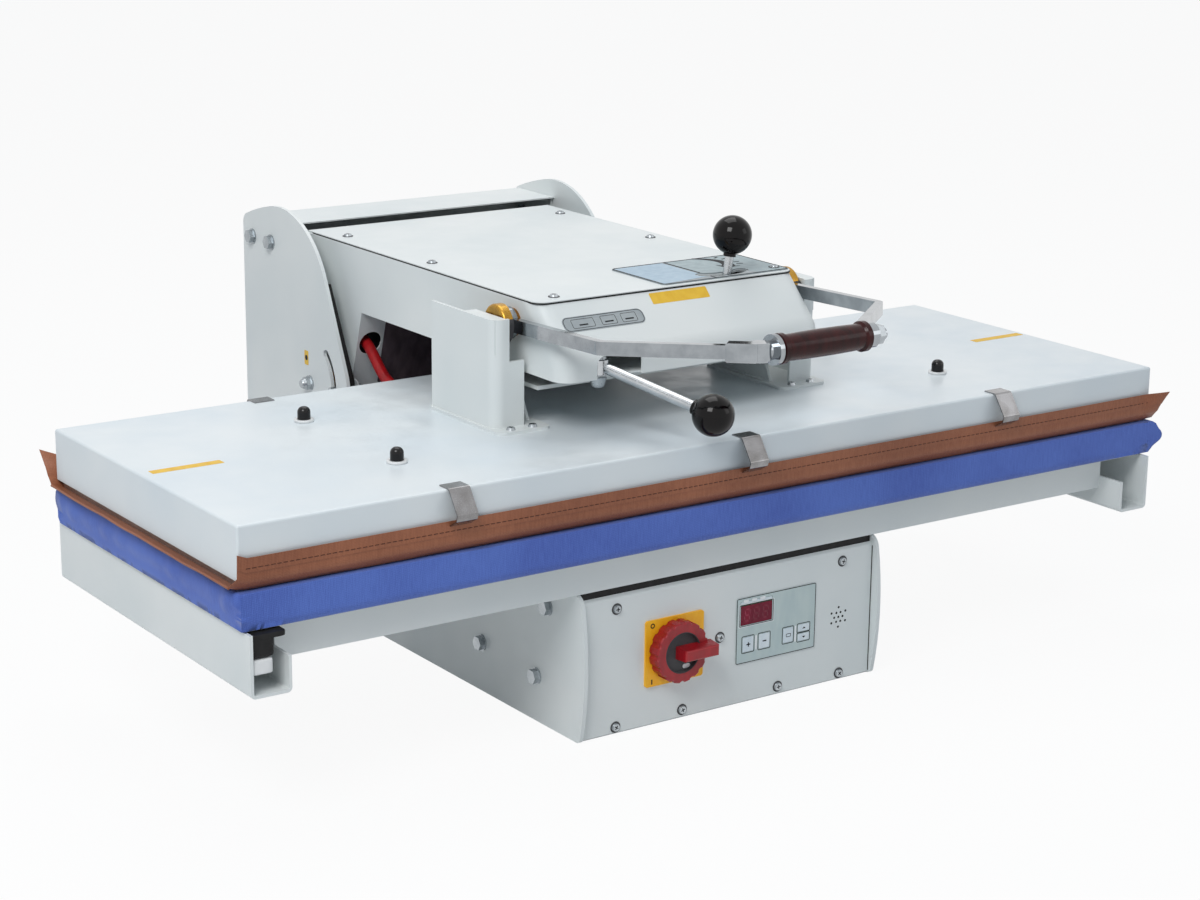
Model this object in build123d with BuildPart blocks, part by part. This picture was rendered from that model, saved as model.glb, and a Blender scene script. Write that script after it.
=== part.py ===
from build123d import *
import os
from math import atan2, cos, degrees, hypot, pi, radians, sin, sqrt, tan

# Flatbed fusing press: a padded bed on a control box, and a heated platen on an arm that lifts
# about a shaft at the back. A bail handle turns a cross shaft whose eccentric ends press the
# platen down on the pad. X runs along the bed, +Y to the back, +Z up. The origin is on the
# underside of the control box, below the middle of the platen. Millimetres.

os.makedirs("parts", exist_ok=True)

# Running and fitting clearances
RUNNING_FIT = 0.05
LOOSE_FIT = 0.4
SIDES = {"left": -1, "right": 1}

# Control box and column
SIDE_HALF = 184.0
SIDE_SHEET = 4.0
BOX_HEIGHT = 149.0
BOX_FRONT = -175.0
BOX_BULGE = 8.0
COLUMN_FRONT = 270.0
COLUMN_KNEE_Z = 262.0
COLUMN_KNEE_R = 60.0
COLUMN_RAKE_TOP = (318.0, 368.0)
COLUMN_CROWN = (440.0, 431.0)
COLUMN_REAR = 505.0
COLUMN_SHOULDER_Z = 412.0
STEP_RADIUS = 25.0
HOOD_SHEET = 1.5
HOOD_FRONT = 418.0
HOOD_TOP = 413.0
HOOD_BEND = 8.0
HOOD_FLANGE = 36.0
TRAY_SHEET = 2.0
TRAY_FLANGE = 58.0
TRAY_FLANGE_START = 6.0
TRAY_FLANGE_LENGTH = 190.0
PANEL_SHEET = 2.0
PANEL_Y = -172.0
PANEL_BEND_Z = 139.0
PANEL_RETURN_Y = -95.0
PANEL_RETURN_Z = 106.0
BOLT_SHANK_R = 4.0
BOLT_HEAD_R = 7.5
BOLT_HEAD = 5.3
BOLT_LENGTH = 12.0
WASHER_R = 8.5
WASHER = 1.6
HOOD_BOLTS = ((438.5, 391.0), (482.5, 391.0))
BOX_BOLTS = ((0.0, 52.0), (-100.0, 47.0), (-119.0, 123.0))

# Platen and bed, one over the other
PLATEN_WIDTH = 1100.0
PLATEN_DEPTH = 385.0
BED_END_MARGIN = 5.0
BED_SIDE_MARGIN = 2.5
BED_HALF_X = PLATEN_WIDTH / 2 - BED_END_MARGIN
BED_HALF_Y = PLATEN_DEPTH / 2 - BED_SIDE_MARGIN

# Bed
RAIL_HEIGHT = 37.0
RAIL_FLANGE = 30.0
RAIL_SHEET = 3.0
RAIL_Y = 170.0
LEG_OUTER = BED_HALF_X
LEG_WIDTH = 40.0
LEG_SHEET = 3.0
LEG_LIP = 34.0
LEG_HEIGHT = 58.0
LEG_PROUD = 12.0
LEG_HALF = BED_HALF_Y + LEG_PROUD
LEG_HOLE_R = 4.5
LEG_HOLE_X = LEG_OUTER - LEG_WIDTH / 2
LEG_HOLE_Y = 150.0
BED_SHEET = 3.0
FOAM_THICKNESS = 32.5
CLOTH = 1.5
PAD_BULGE = 21.0
PAD_TOP_INSET = 9.0
PAD_REST_GAP = 0.4

# Platen
COVER_HEIGHT = 50.0
COVER_SHEET = 1.5
COVER_EDGE = 2.5
PLATE_DROP = 8.4
PLATE_THICKNESS = 22.0
PLATE_GAP = 3.0
ELEMENT_R = 4.0
ELEMENT_MARGIN = 30.0
ELEMENT_HALF = PLATEN_WIDTH / 2 - ELEMENT_MARGIN
ELEMENT_INNER_Y = 35.0
ELEMENT_OUTER_Y = 145.0
SHEET_THICKNESS = 1.2
SHEET_OVERHANG = 7.0
SHEET_HALF = PLATEN_WIDTH / 2 + SHEET_OVERHANG
SHEET_FLAP = 31.0
SHEET_GAP = 2.3
CLIP_WIDTH = 22.0
CLIP_STEEL = 1.2
CLIP_TONGUE = 14.0
CLIP_REACH = 16.0
CLIP_DROP = 21.0
CLIP_PITCH = 0.3 * PLATEN_WIDTH
CAP_X = 333.0
CAP_Y = 90.0
CAP_R = 6.5
CAP_HEIGHT = 15.0
STUD_R = 4.0

# Brackets that stand on the platen
BRACKET_OUTER = 200.0
BRACKET_SHEET = 3.0
BRACKET_HEIGHT = 110.0
BRACKET_FRONT = -47.0
BRACKET_REAR = 68.0
BRACKET_LOW = 165.0
BRACKET_HIGH = 182.0
BRACKET_STEP = 68.0
BRACKET_BEND = 12.0
BRACKET_FOOT_FRONT = -64.0
BRACKET_FOOT_INNER = 143.0
GUSSET_X = 150.0
GUSSET_HEIGHT = 66.0
GUSSET_FRONT = -35.0
GUSSET_RAKE = 34.0
YOKE_Z = 36.0
YOKE_SHEET = 4.0
YOKE_FRONT = -48.0
YOKE_REAR = 60.0
BRACKET_SCREWS_X = (161.0, 186.0)
BRACKET_SCREW_Y = -56.0

# Arm
PIVOT_Y = 354.0
PIVOT_Z = 248.0
PIVOT_R = 10.0
PIVOT_STUD_R = 4.0
PIVOT_DOME_R = 6.0
ARM_OPENING = 42.0
ARM_HALF = 160.0
ARM_SHEET = 2.0
ARM_TOP = 125.0
ARM_UNDERSIDE = 54.0
ARM_FRONT = -105.0
ARM_NOSE_Z = 78.0
ARM_COVER_FRONT = -60.0
ARM_COVER_REAR = 400.0
ARM_LEG_FRONT = 280.0
ARM_LEG_TOE = 318.0
ARM_LEG_BOTTOM = 205.0
ARM_CORNER_R = 18.0
ARM_WALL_BOTTOM = 250.0
COVER_PLATE = 2.0
COVER_CORNER_R = 14.0
COVER_RIM = 12.0
COVER_SCREWS = (
    (-127.0, -41.0),
    (146.0, -40.0),
    (-139.0, 168.0),
    (139.0, 168.0),
    (-139.0, 345.0),
    (139.0, 345.0),
)
BEAM_X = 116.0
BEAM_SHEET = 8.0
BEAM_TOP = 117.0
BEAM_BOTTOM = 66.0
BEAM_FRONT = -45.0
CABLE_HOLE_R = 13.5
CABLE_HOLE_X = -143.5
CABLE_HOLE_Z = 300.0
BUSH_WALL = 4.0
BUSH_FLANGE = 2.0
STOP_RADIUS = 54.0
STOP_PIN_R = 4.5
STOP_SLOT = 11.0
STOP_REST_ANGLE = 178.0
LIP_DEPTH = 32.0

# Cross shaft and bail handle
SHAFT_Y = -20.0
SHAFT_UP = 100.0
SHAFT_R = 10.0
SHAFT_HALF = 184.0
ECCENTRICITY = 6.0
BAIL_SWING = 75.0
PLATEN_LIFT = 4.4
JOURNAL_R = 7.0
JOURNAL_LENGTH = 12.0
BLOCK_FRONT = -44.0
BLOCK_REAR = 10.0
HUB_R = 20.0
HUB_WIDTH = 10.0
BAR_X = 168.5
BAR_THICKNESS = 8.0
BAR_HEIGHT = 13.0
BAR_BEND = 161.0
BAR_BEND_R = 9.0
BAR_EYE_R = 16.0
BAIL_RISE = 2.2
GRIP_REACH = 265.0
KNUCKLE_X = 70.0
GRIP_START = -45.0
GRIP_END = 62.0
GRIP_R = 13.2
GRIP_COLLAR_R = 14.6
GRIP_ROD_R = 6.0
GRIP_NUT_R = 10.0
EYE_STRAIGHT = 18.0

# Lower and top levers
RELEASE_X = -110.0
RELEASE_Y = -93.0
RELEASE_SWING = 38.0
RELEASE_ROD_R = 5.5
RELEASE_BALL = (-62.0, -215.0, 318.0)
BALL_R = 20.5
NOTCH_LEFT = -119.0
NOTCH_RIGHT = -66.0
NOTCH_HEIGHT = 22.0
PRESSURE_X = 84.0
PRESSURE_Y = 10.0
PRESSURE_REACH = 50.0
PRESSURE_SWING = 28.0
PRESSURE_ROD_R = 4.5
PRESSURE_BALL = (91.0, 448.0)
PRESSURE_SLOT = 13.0
SPINDLE_R = 5.0
SCALE_LEFT = -4.0
SCALE_RIGHT = 156.0
SCALE_FRONT = -54.0
SCALE_BACK = 40.0
SCALE_PLATE = 1.0

# Control panel
SWITCH_X = -71.5
SWITCH_Z = 75.0
SWITCH_PLATE_W = 70.0
SWITCH_PLATE_H = 68.0
SWITCH_PLATE = 2.0
SWITCH_NECK_R = 12.0
SWITCH_SPINDLE_R = 4.0
KNOB_R = 31.0
KNOB_DEPTH = 14.0
KNOB_RECESS_R = 21.0
KNOB_SCALLOPS = 16
KNOB_BAR_LENGTH = 34.0
KNOB_BAR_WIDTH = 13.0
KNOB_BAR_PROUD = 12.0
BOARD_X = 78.0
BOARD_W = 148.0
BOARD_H = 76.0
OVERLAY_X = 55.5
OVERLAY_Z = 77.0
OVERLAY_W = 100.0
OVERLAY_H = 68.0
OVERLAY_SHEET = 1.0
WINDOW_X = 30.0
WINDOW_Z = 95.0
WINDOW_W = 40.0
WINDOW_H = 25.0
KEY_TRAVEL = 0.6
KEY_PROUD = 0.8
KEYS = {
    "key_plus": (20.0, 62.0, 13.0, 15.0),
    "key_minus": (40.5, 62.0, 13.0, 15.0),
    "key_set": (71.0, 62.0, 12.0, 15.0),
    "key_up": (91.0, 66.5, 14.0, 7.0),
    "key_down": (91.0, 56.5, 14.0, 7.0),
}
BUZZER_X = 137.5
BUZZER_Z = 68.5
BUZZER_R = 12.0
SOUND_HOLE_R = 1.0
SOUND_RINGS = ((5.5, 0.0), (10.5, 30.0))
PANEL_SCREWS = (
    (-140.0, 128.0),
    (140.0, 128.0),
    (-140.0, 7.5),
    (140.0, 7.5),
    (-60.0, 9.0),
    (60.0, 9.0),
    (-15.0, 75.5),
)
SCREW_HEAD_R = 4.6
SCREW_HEAD = 2.6
SCREW_SHANK_R = 2.0
SCREW_LENGTH = 7.0

# Gas springs
GAS_X = 140.0
GAS_ANCHOR_Z = 40.0
GAS_TUBE_R = 11.0
GAS_TUBE_TOP = 150.0
GAS_ROD_R = 4.0
GAS_EYE = 10.0
CRANK_RADIUS = 50.0
CRANK_REST_ANGLE = 201.0
CRANK_PIN_R = 4.0
CRANK_CLEARANCE = 3.2

# Heater cable
CABLE_R = 6.0
CABLE_ROUTE = (
    (-140.0, 340.0, 305.0),
    (-143.0, 316.0, 303.5),
    (-145.5, 294.0, 299.5),
    (-149.0, 273.0, 289.0),
    (-151.0, 251.0, 273.0),
    (-152.5, 228.0, 265.5),
    (-153.0, 206.0, 265.0),
)

# Levels that follow from the sizes above
BED_TOP = BOX_HEIGHT + RAIL_HEIGHT + BED_SHEET
PAD_TOP = BED_TOP + FOAM_THICKNESS + CLOTH
SHEET_BOTTOM = PAD_TOP + PAD_REST_GAP
PLATE_BOTTOM = SHEET_BOTTOM + SHEET_THICKNESS
COVER_BOTTOM = PLATE_BOTTOM + PLATE_DROP
COVER_TOP = COVER_BOTTOM + COVER_HEIGHT
ARM_TOP_Z = COVER_TOP + ARM_TOP
HOUSING_TOP = ARM_TOP_Z - COVER_PLATE
ARM_UNDER_Z = COVER_TOP + ARM_UNDERSIDE
SHAFT_Z = COVER_TOP + SHAFT_UP
SIDE_INNER = SIDE_HALF - SIDE_SHEET
HOOD_HALF = SIDE_INNER - 0.2
HOOD_REAR = COLUMN_REAR - 2.0
CRANK_Y = PIVOT_Y + CRANK_RADIUS * cos(radians(CRANK_REST_ANGLE))
CRANK_Z = PIVOT_Z + CRANK_RADIUS * sin(radians(CRANK_REST_ANGLE))
STOP_Y = PIVOT_Y + STOP_RADIUS * cos(radians(STOP_REST_ANGLE))
STOP_Z = PIVOT_Z + STOP_RADIUS * sin(radians(STOP_REST_ANGLE))
BAIL_PLANE = Plane(
    origin=(0, SHAFT_Y, SHAFT_Z),
    x_dir=(1, 0, 0),
    z_dir=(0, sin(radians(BAIL_RISE)), cos(radians(BAIL_RISE))),
)
PANEL_FACE = Plane(origin=(0, PANEL_Y, 0), x_dir=(1, 0, 0), z_dir=(0, -1, 0))


def save(piece, label):
    """Name a finished piece and write it as its own STEP file."""
    piece.part.label = label
    export_step(piece.part, f"parts/{label}.step")


def corner(sketch, first, second):
    """The sketch's vertex nearest to a point of its plane."""
    return sketch.vertices().sort_by_distance((first, second, 0))[0]


def side_face(side, x):
    """Plane across X at the distance x on the left or right, its own x along Y."""
    return Plane.YZ.offset(side * x)


def along_x(side, x, y, z):
    """Plane across an axis parallel to X, centred on it and facing outwards."""
    return Plane(origin=(side * x, y, z), x_dir=(0, 1, 0), z_dir=(side, 0, 0))


# Side plates: box side below, column cheek above
stop_arc = CenterArc(
    (PIVOT_Y, PIVOT_Z), STOP_RADIUS, STOP_REST_ANGLE + 2, -ARM_OPENING - 4
)
for name, side in SIDES.items():
    with BuildPart() as side_plate:
        with BuildSketch(Plane.YZ.offset(side * SIDE_HALF)) as cheek:
            with BuildLine():
                ThreePointArc(
                    (BOX_FRONT, 0),
                    (BOX_FRONT - BOX_BULGE, BOX_HEIGHT / 2),
                    (BOX_FRONT, BOX_HEIGHT),
                )
                Polyline(
                    (BOX_FRONT, BOX_HEIGHT),
                    (COLUMN_FRONT, BOX_HEIGHT),
                    (COLUMN_FRONT, COLUMN_KNEE_Z),
                    COLUMN_RAKE_TOP,
                )
                rake = (COLUMN_RAKE_TOP[0] - COLUMN_FRONT, COLUMN_RAKE_TOP[1] - COLUMN_KNEE_Z)
                crown = TangentArc(COLUMN_RAKE_TOP, COLUMN_CROWN, tangent=rake)
                shoulder = TangentArc(
                    crown @ 1, (COLUMN_REAR, COLUMN_SHOULDER_Z), tangent=crown % 1
                )
                Polyline(shoulder @ 1, (COLUMN_REAR, 0), (BOX_FRONT, 0))
            make_face()
            fillet(corner(cheek, BOX_FRONT, BOX_HEIGHT), radius=14)
            fillet(corner(cheek, COLUMN_FRONT, BOX_HEIGHT), radius=STEP_RADIUS)
            fillet(corner(cheek, COLUMN_FRONT, COLUMN_KNEE_Z), radius=COLUMN_KNEE_R)
            fillet(corner(cheek, COLUMN_REAR, COLUMN_SHOULDER_Z), radius=12)
            fillet(corner(cheek, BOX_FRONT, 0), radius=6)
            with Locations((PIVOT_Y, PIVOT_Z)):
                Circle(PIVOT_STUD_R, mode=Mode.SUBTRACT)
            with Locations(*HOOD_BOLTS, *BOX_BOLTS):
                Circle(BOLT_SHANK_R, mode=Mode.SUBTRACT)
            SlotArc(stop_arc, height=STOP_SLOT, mode=Mode.SUBTRACT)
        extrude(amount=-side * SIDE_SHEET)
    save(side_plate, f"{name}_side_plate")

# Hood over the column, bent over the top and down the back, with bolted flanges
with BuildPart() as column_hood:
    with BuildSketch(Plane.YZ.offset(-HOOD_HALF)):
        with BuildLine():
            FilletPolyline(
                (HOOD_FRONT, HOOD_TOP),
                (HOOD_REAR, HOOD_TOP),
                (HOOD_REAR, TRAY_SHEET),
                radius=HOOD_BEND,
            )
            offset(amount=HOOD_SHEET, side=Side.RIGHT)
        make_face()
    extrude(amount=2 * HOOD_HALF)
    for side in SIDES.values():
        with BuildSketch(side_face(side, HOOD_HALF)):
            with Locations((HOOD_FRONT + 6, HOOD_TOP - HOOD_SHEET)):
                Rectangle(
                    HOOD_REAR - HOOD_FRONT - 16,
                    HOOD_FLANGE,
                    align=(Align.MIN, Align.MAX),
                )
            with Locations(*HOOD_BOLTS):
                Circle(BOLT_SHANK_R, mode=Mode.SUBTRACT)
        extrude(amount=-side * HOOD_SHEET)
    with BuildSketch(Plane.XZ.offset(-HOOD_REAR)):
        with Locations((-120, 60)):
            Circle(8, mode=Mode.ADD)
    extrude(amount=2 * HOOD_SHEET, both=True, mode=Mode.SUBTRACT)
save(column_hood, "column_hood")

# Gland for the mains lead in the back of the hood
with BuildPart() as mains_gland:
    with BuildSketch(Plane.XZ.offset(-HOOD_REAR)):
        with Locations((-120, 60)):
            RegularPolygon(13, 6)
    extrude(amount=-6)
    with BuildSketch(Plane.XZ.offset(-HOOD_REAR - 6)):
        with Locations((-120, 60)):
            Circle(10.5)
    extrude(amount=-10, taper=12)
    with BuildSketch(Plane.XZ.offset(-HOOD_REAR)):
        with Locations((-120, 60)):
            Circle(8)
    extrude(amount=HOOD_SHEET)
    with BuildSketch(Plane.XZ.offset(-HOOD_REAR + HOOD_SHEET)):
        with Locations((-120, 60)):
            RegularPolygon(12, 6)
    extrude(amount=5)
    with Locations((-120, HOOD_REAR, 60)):
        Cylinder(4.5, 60, rotation=(90, 0, 0), mode=Mode.SUBTRACT)
save(mains_gland, "mains_gland")

# Hexagon bolts through both side plates
bolt_planes = [
    along_x(side, SIDE_HALF, y, z)
    for side in SIDES.values()
    for y, z in HOOD_BOLTS + BOX_BOLTS
]
with BuildPart() as hex_bolts:
    with BuildSketch(*bolt_planes):
        Circle(WASHER_R)
    extrude(amount=WASHER)
    with BuildSketch(*[plane.offset(WASHER) for plane in bolt_planes]):
        RegularPolygon(BOLT_HEAD_R, 6)
    extrude(amount=BOLT_HEAD)
    with BuildSketch(*bolt_planes):
        Circle(BOLT_SHANK_R)
    extrude(amount=-BOLT_LENGTH)
save(hex_bolts, "hex_bolts")

# Pivot shaft between the side plates, with threaded ends and acorn nuts
shaft_ends = [along_x(side, SIDE_INNER, PIVOT_Y, PIVOT_Z) for side in SIDES.values()]
with BuildPart() as pivot_shaft:
    with BuildSketch(along_x(1, -SIDE_INNER, PIVOT_Y, PIVOT_Z)):
        Circle(PIVOT_R)
    extrude(amount=2 * SIDE_INNER)
    with BuildSketch(*shaft_ends):
        Circle(PIVOT_STUD_R)
    extrude(amount=SIDE_SHEET + 6)
save(pivot_shaft, "pivot_shaft")

nut_planes = [along_x(side, SIDE_HALF, PIVOT_Y, PIVOT_Z) for side in SIDES.values()]
with BuildPart() as pivot_nuts:
    with BuildSketch(*nut_planes):
        Circle(WASHER_R)
    extrude(amount=WASHER)
    with BuildSketch(*[plane.offset(WASHER) for plane in nut_planes]):
        RegularPolygon(BOLT_HEAD_R, 6)
    extrude(amount=BOLT_HEAD)
    with BuildSketch(*[plane.offset(WASHER + BOLT_HEAD) for plane in nut_planes]):
        Circle(PIVOT_DOME_R)
    extrude(amount=5, taper=18)
    fillet(edges().group_by(Axis.X)[0] + edges().group_by(Axis.X)[-1], radius=2.4)
    with BuildSketch(*nut_planes):
        Circle(PIVOT_STUD_R)
    extrude(amount=6, mode=Mode.SUBTRACT)
save(pivot_nuts, "pivot_nuts")

# Floor of the control box, with side flanges and the clevises of the gas springs
with BuildPart() as bottom_tray:
    tray_front = PANEL_Y + PANEL_SHEET
    tray_rear = HOOD_REAR - HOOD_SHEET
    with BuildSketch():
        with Locations((0, (tray_front + tray_rear) / 2)):
            Rectangle(2 * HOOD_HALF, tray_rear - tray_front)
    extrude(amount=TRAY_SHEET)
    for side in SIDES.values():
        with BuildSketch(side_face(side, HOOD_HALF)) as flange:
            flange_end = tray_front + TRAY_FLANGE_START + TRAY_FLANGE_LENGTH
            with Locations((tray_front + TRAY_FLANGE_START, TRAY_SHEET)):
                Rectangle(TRAY_FLANGE_LENGTH, TRAY_FLANGE, align=(Align.MIN, Align.MIN))
            fillet(corner(flange, flange_end, TRAY_SHEET + TRAY_FLANGE), radius=10)
            with Locations(*BOX_BOLTS[:2]):
                Circle(BOLT_SHANK_R, mode=Mode.SUBTRACT)
        extrude(amount=-side * TRAY_SHEET)
        for inner in (-1, 1):
            ear_x = side * GAS_X + inner * (GAS_EYE / 2 + 0.5)
            with BuildSketch(Plane.YZ.offset(ear_x)) as ear:
                with BuildLine():
                    lug = CenterArc((CRANK_Y, GAS_ANCHOR_Z), 10, 0, 180)
                    Polyline(
                        lug @ 1,
                        (CRANK_Y - 16, TRAY_SHEET),
                        (CRANK_Y + 16, TRAY_SHEET),
                        lug @ 0,
                    )
                make_face()
            extrude(amount=inner * 4)
    with BuildSketch(*[Plane.YZ.offset(side * GAS_X) for side in SIDES.values()]):
        with Locations((CRANK_Y, GAS_ANCHOR_Z)):
            Circle(CRANK_PIN_R)
    extrude(amount=GAS_EYE / 2 + 8, both=True)
save(bottom_tray, "bottom_tray")

# Control panel, bent back at the top, with side returns
with BuildPart() as front_panel:
    with BuildSketch(Plane.YZ.offset(-HOOD_HALF)):
        with BuildLine():
            FilletPolyline(
                (PANEL_Y, TRAY_SHEET),
                (PANEL_Y, PANEL_BEND_Z),
                (PANEL_Y + 12, BOX_HEIGHT - 1),
                (PANEL_Y + 55, BOX_HEIGHT - 1),
                radius=4,
            )
            offset(amount=PANEL_SHEET, side=Side.RIGHT)
        make_face()
    extrude(amount=2 * HOOD_HALF)
    for side in SIDES.values():
        with BuildSketch(side_face(side, HOOD_HALF)):
            with Locations((PANEL_Y + PANEL_SHEET, PANEL_RETURN_Z)):
                Rectangle(
                    PANEL_RETURN_Y - PANEL_Y - PANEL_SHEET,
                    PANEL_BEND_Z - 5 - PANEL_RETURN_Z,
                    align=(Align.MIN, Align.MIN),
                )
            with Locations(BOX_BOLTS[2]):
                Circle(BOLT_SHANK_R, mode=Mode.SUBTRACT)
        extrude(amount=-side * PANEL_SHEET)
    with BuildSketch(PANEL_FACE):
        with Locations((SWITCH_X, SWITCH_Z)):
            Circle(SWITCH_NECK_R)
        with Locations((WINDOW_X, WINDOW_Z)):
            Rectangle(WINDOW_W + 2 * LOOSE_FIT, WINDOW_H + 2 * LOOSE_FIT)
        for key_x, key_z, key_w, key_h in KEYS.values():
            with Locations((key_x, key_z)):
                RectangleRounded(key_w + 2 * LOOSE_FIT, key_h + 2 * LOOSE_FIT, 1.5)
        with Locations((BUZZER_X, BUZZER_Z)):
            Circle(SOUND_HOLE_R)
            for ring, first in SOUND_RINGS:
                with PolarLocations(ring, 6, start_angle=first):
                    Circle(SOUND_HOLE_R)
        with Locations(*PANEL_SCREWS):
            Circle(SCREW_SHANK_R)
    extrude(amount=-PANEL_SHEET, mode=Mode.SUBTRACT)
save(front_panel, "front_panel")

with BuildPart() as panel_screws:
    with BuildSketch(PANEL_FACE):
        with Locations(*PANEL_SCREWS):
            Circle(SCREW_HEAD_R)
    extrude(amount=SCREW_HEAD, taper=20)
    with BuildSketch(PANEL_FACE):
        with Locations(*PANEL_SCREWS):
            Circle(SCREW_SHANK_R)
    extrude(amount=-SCREW_LENGTH)
save(panel_screws, "panel_screws")

# Main switch: yellow plate, body behind the panel and scalloped knob
with BuildPart() as switch_plate:
    with BuildSketch(PANEL_FACE):
        with Locations((SWITCH_X, SWITCH_Z)):
            RectangleRounded(SWITCH_PLATE_W, SWITCH_PLATE_H, 3)
            Circle(SWITCH_NECK_R, mode=Mode.SUBTRACT)
    extrude(amount=SWITCH_PLATE)
save(switch_plate, "switch_plate")

switch_back = PANEL_FACE.offset(-PANEL_SHEET)
with BuildPart() as switch_body:
    with BuildSketch(switch_back) as block:
        with Locations((SWITCH_X, SWITCH_Z)):
            RectangleRounded(50, 50, 4)
    extrude(amount=-46)
    with BuildSketch(switch_back):
        with Locations((SWITCH_X, SWITCH_Z)):
            Circle(SWITCH_NECK_R)
    extrude(amount=PANEL_SHEET + SWITCH_PLATE)
    with BuildSketch(PANEL_FACE.offset(SWITCH_PLATE)):
        with Locations((SWITCH_X, SWITCH_Z)):
            Circle(SWITCH_SPINDLE_R)
    extrude(amount=KNOB_DEPTH - 6)
save(switch_body, "switch_body")

knob_back = PANEL_FACE.offset(SWITCH_PLATE + LOOSE_FIT)
with BuildPart() as switch_knob:
    with BuildSketch(knob_back):
        with Locations((SWITCH_X, SWITCH_Z)):
            Circle(KNOB_R)
            with PolarLocations(KNOB_R + 2, KNOB_SCALLOPS):
                Circle(3.6, mode=Mode.SUBTRACT)
    extrude(amount=KNOB_DEPTH)
    chamfer(faces().sort_by(Axis.Y)[0].edges(), length=1)
    with BuildSketch(knob_back.offset(KNOB_DEPTH)):
        with Locations((SWITCH_X, SWITCH_Z)):
            Circle(KNOB_RECESS_R)
    extrude(amount=-5, mode=Mode.SUBTRACT)
    with BuildSketch(knob_back.offset(KNOB_DEPTH - 5)):
        with Locations((SWITCH_X - 6, SWITCH_Z)):
            Rectangle(KNOB_BAR_LENGTH + 8, KNOB_BAR_WIDTH, align=(Align.MIN, Align.CENTER))
    extrude(amount=5 + KNOB_BAR_PROUD, taper=3)
    fillet(faces().sort_by(Axis.Y)[0].edges(), radius=2)
    with BuildSketch(knob_back):
        with Locations((SWITCH_X, SWITCH_Z)):
            Circle(SWITCH_SPINDLE_R + RUNNING_FIT)
    extrude(amount=KNOB_DEPTH - 5.5, mode=Mode.SUBTRACT)
save(switch_knob, "switch_knob")

# Keypad foil, board with display and buzzer, and the five keys
with BuildPart() as key_overlay:
    with BuildSketch(PANEL_FACE):
        with Locations((OVERLAY_X, OVERLAY_Z)):
            RectangleRounded(OVERLAY_W, OVERLAY_H, 1.5)
        with Locations((WINDOW_X, WINDOW_Z)):
            Rectangle(WINDOW_W, WINDOW_H, mode=Mode.SUBTRACT)
        for key_x, key_z, key_w, key_h in KEYS.values():
            with Locations((key_x, key_z)):
                RectangleRounded(
                    key_w + LOOSE_FIT, key_h + LOOSE_FIT, 1.2, mode=Mode.SUBTRACT
                )
    extrude(amount=OVERLAY_SHEET)
save(key_overlay, "key_overlay")

board_gap = 10.0
board_face = PANEL_FACE.offset(-PANEL_SHEET - board_gap)
with BuildPart() as control_board:
    with BuildSketch(board_face):
        with Locations((BOARD_X, OVERLAY_Z)):
            RectangleRounded(BOARD_W, BOARD_H, 2)
    extrude(amount=-1.6)
    with BuildSketch(board_face):
        with Locations((WINDOW_X, WINDOW_Z)):
            Rectangle(WINDOW_W - LOOSE_FIT, WINDOW_H - LOOSE_FIT)
    extrude(amount=board_gap + PANEL_SHEET + OVERLAY_SHEET / 2)
    with BuildSketch(board_face):
        with Locations((BUZZER_X, BUZZER_Z)):
            Circle(BUZZER_R)
    extrude(amount=board_gap)
    with BuildSketch(board_face):
        for key_x, key_z, key_w, key_h in KEYS.values():
            with Locations((key_x, key_z)):
                Rectangle(6, 6)
    extrude(amount=board_gap - 1)
save(control_board, "control_board")

for name, (key_x, key_z, key_w, key_h) in KEYS.items():
    with BuildPart() as key:
        with BuildSketch(PANEL_FACE.offset(-PANEL_SHEET)):
            with Locations((key_x, key_z)):
                RectangleRounded(key_w, key_h, 1.0)
        extrude(amount=PANEL_SHEET + OVERLAY_SHEET + KEY_PROUD)
        fillet(faces().sort_by(Axis.Y)[0].edges(), radius=0.5)
        with BuildSketch(PANEL_FACE.offset(-PANEL_SHEET)):
            with Locations((key_x, key_z)):
                Rectangle(4, 4)
        extrude(amount=-1 + KEY_TRAVEL)
    save(key, name)

# Rails that carry the bed, open towards its middle
for name, side in {"front": -1, "rear": 1}.items():
    with BuildPart() as rail:
        web = side * RAIL_Y
        with BuildSketch(Plane.YZ.offset(-LEG_OUTER + LEG_WIDTH)):
            with BuildLine():
                Polyline(
                    (web - side * RAIL_FLANGE, BOX_HEIGHT),
                    (web, BOX_HEIGHT),
                    (web, BOX_HEIGHT + RAIL_HEIGHT),
                    (web - side * RAIL_FLANGE, BOX_HEIGHT + RAIL_HEIGHT),
                )
                offset(amount=RAIL_SHEET, side=Side.LEFT if side > 0 else Side.RIGHT)
            make_face()
        extrude(amount=2 * (LEG_OUTER - LEG_WIDTH))
    save(rail, f"{name}_rail")

# Lipped channels at the ends of the bed, open at the front and the back
for name, side in SIDES.items():
    with BuildPart() as leg:
        leg_bottom = BOX_HEIGHT + RAIL_HEIGHT - LEG_HEIGHT
        with BuildSketch(Plane.XZ.offset(LEG_HALF)):
            with BuildLine():
                FilletPolyline(
                    (side * LEG_OUTER, leg_bottom + LEG_HEIGHT),
                    (side * LEG_OUTER, leg_bottom),
                    (side * (LEG_OUTER - LEG_WIDTH), leg_bottom),
                    (side * (LEG_OUTER - LEG_WIDTH), leg_bottom + LEG_LIP),
                    radius=4.5,
                )
                offset(amount=LEG_SHEET, side=Side.RIGHT if side > 0 else Side.LEFT)
            make_face()
        extrude(amount=-2 * LEG_HALF)
        with Locations(
            (side * LEG_HOLE_X, -LEG_HOLE_Y, leg_bottom),
            (side * LEG_HOLE_X, LEG_HOLE_Y, leg_bottom),
        ):
            Cylinder(LEG_HOLE_R, 4 * LEG_SHEET, mode=Mode.SUBTRACT)
    save(leg, f"{name}_leg_channel")

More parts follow.
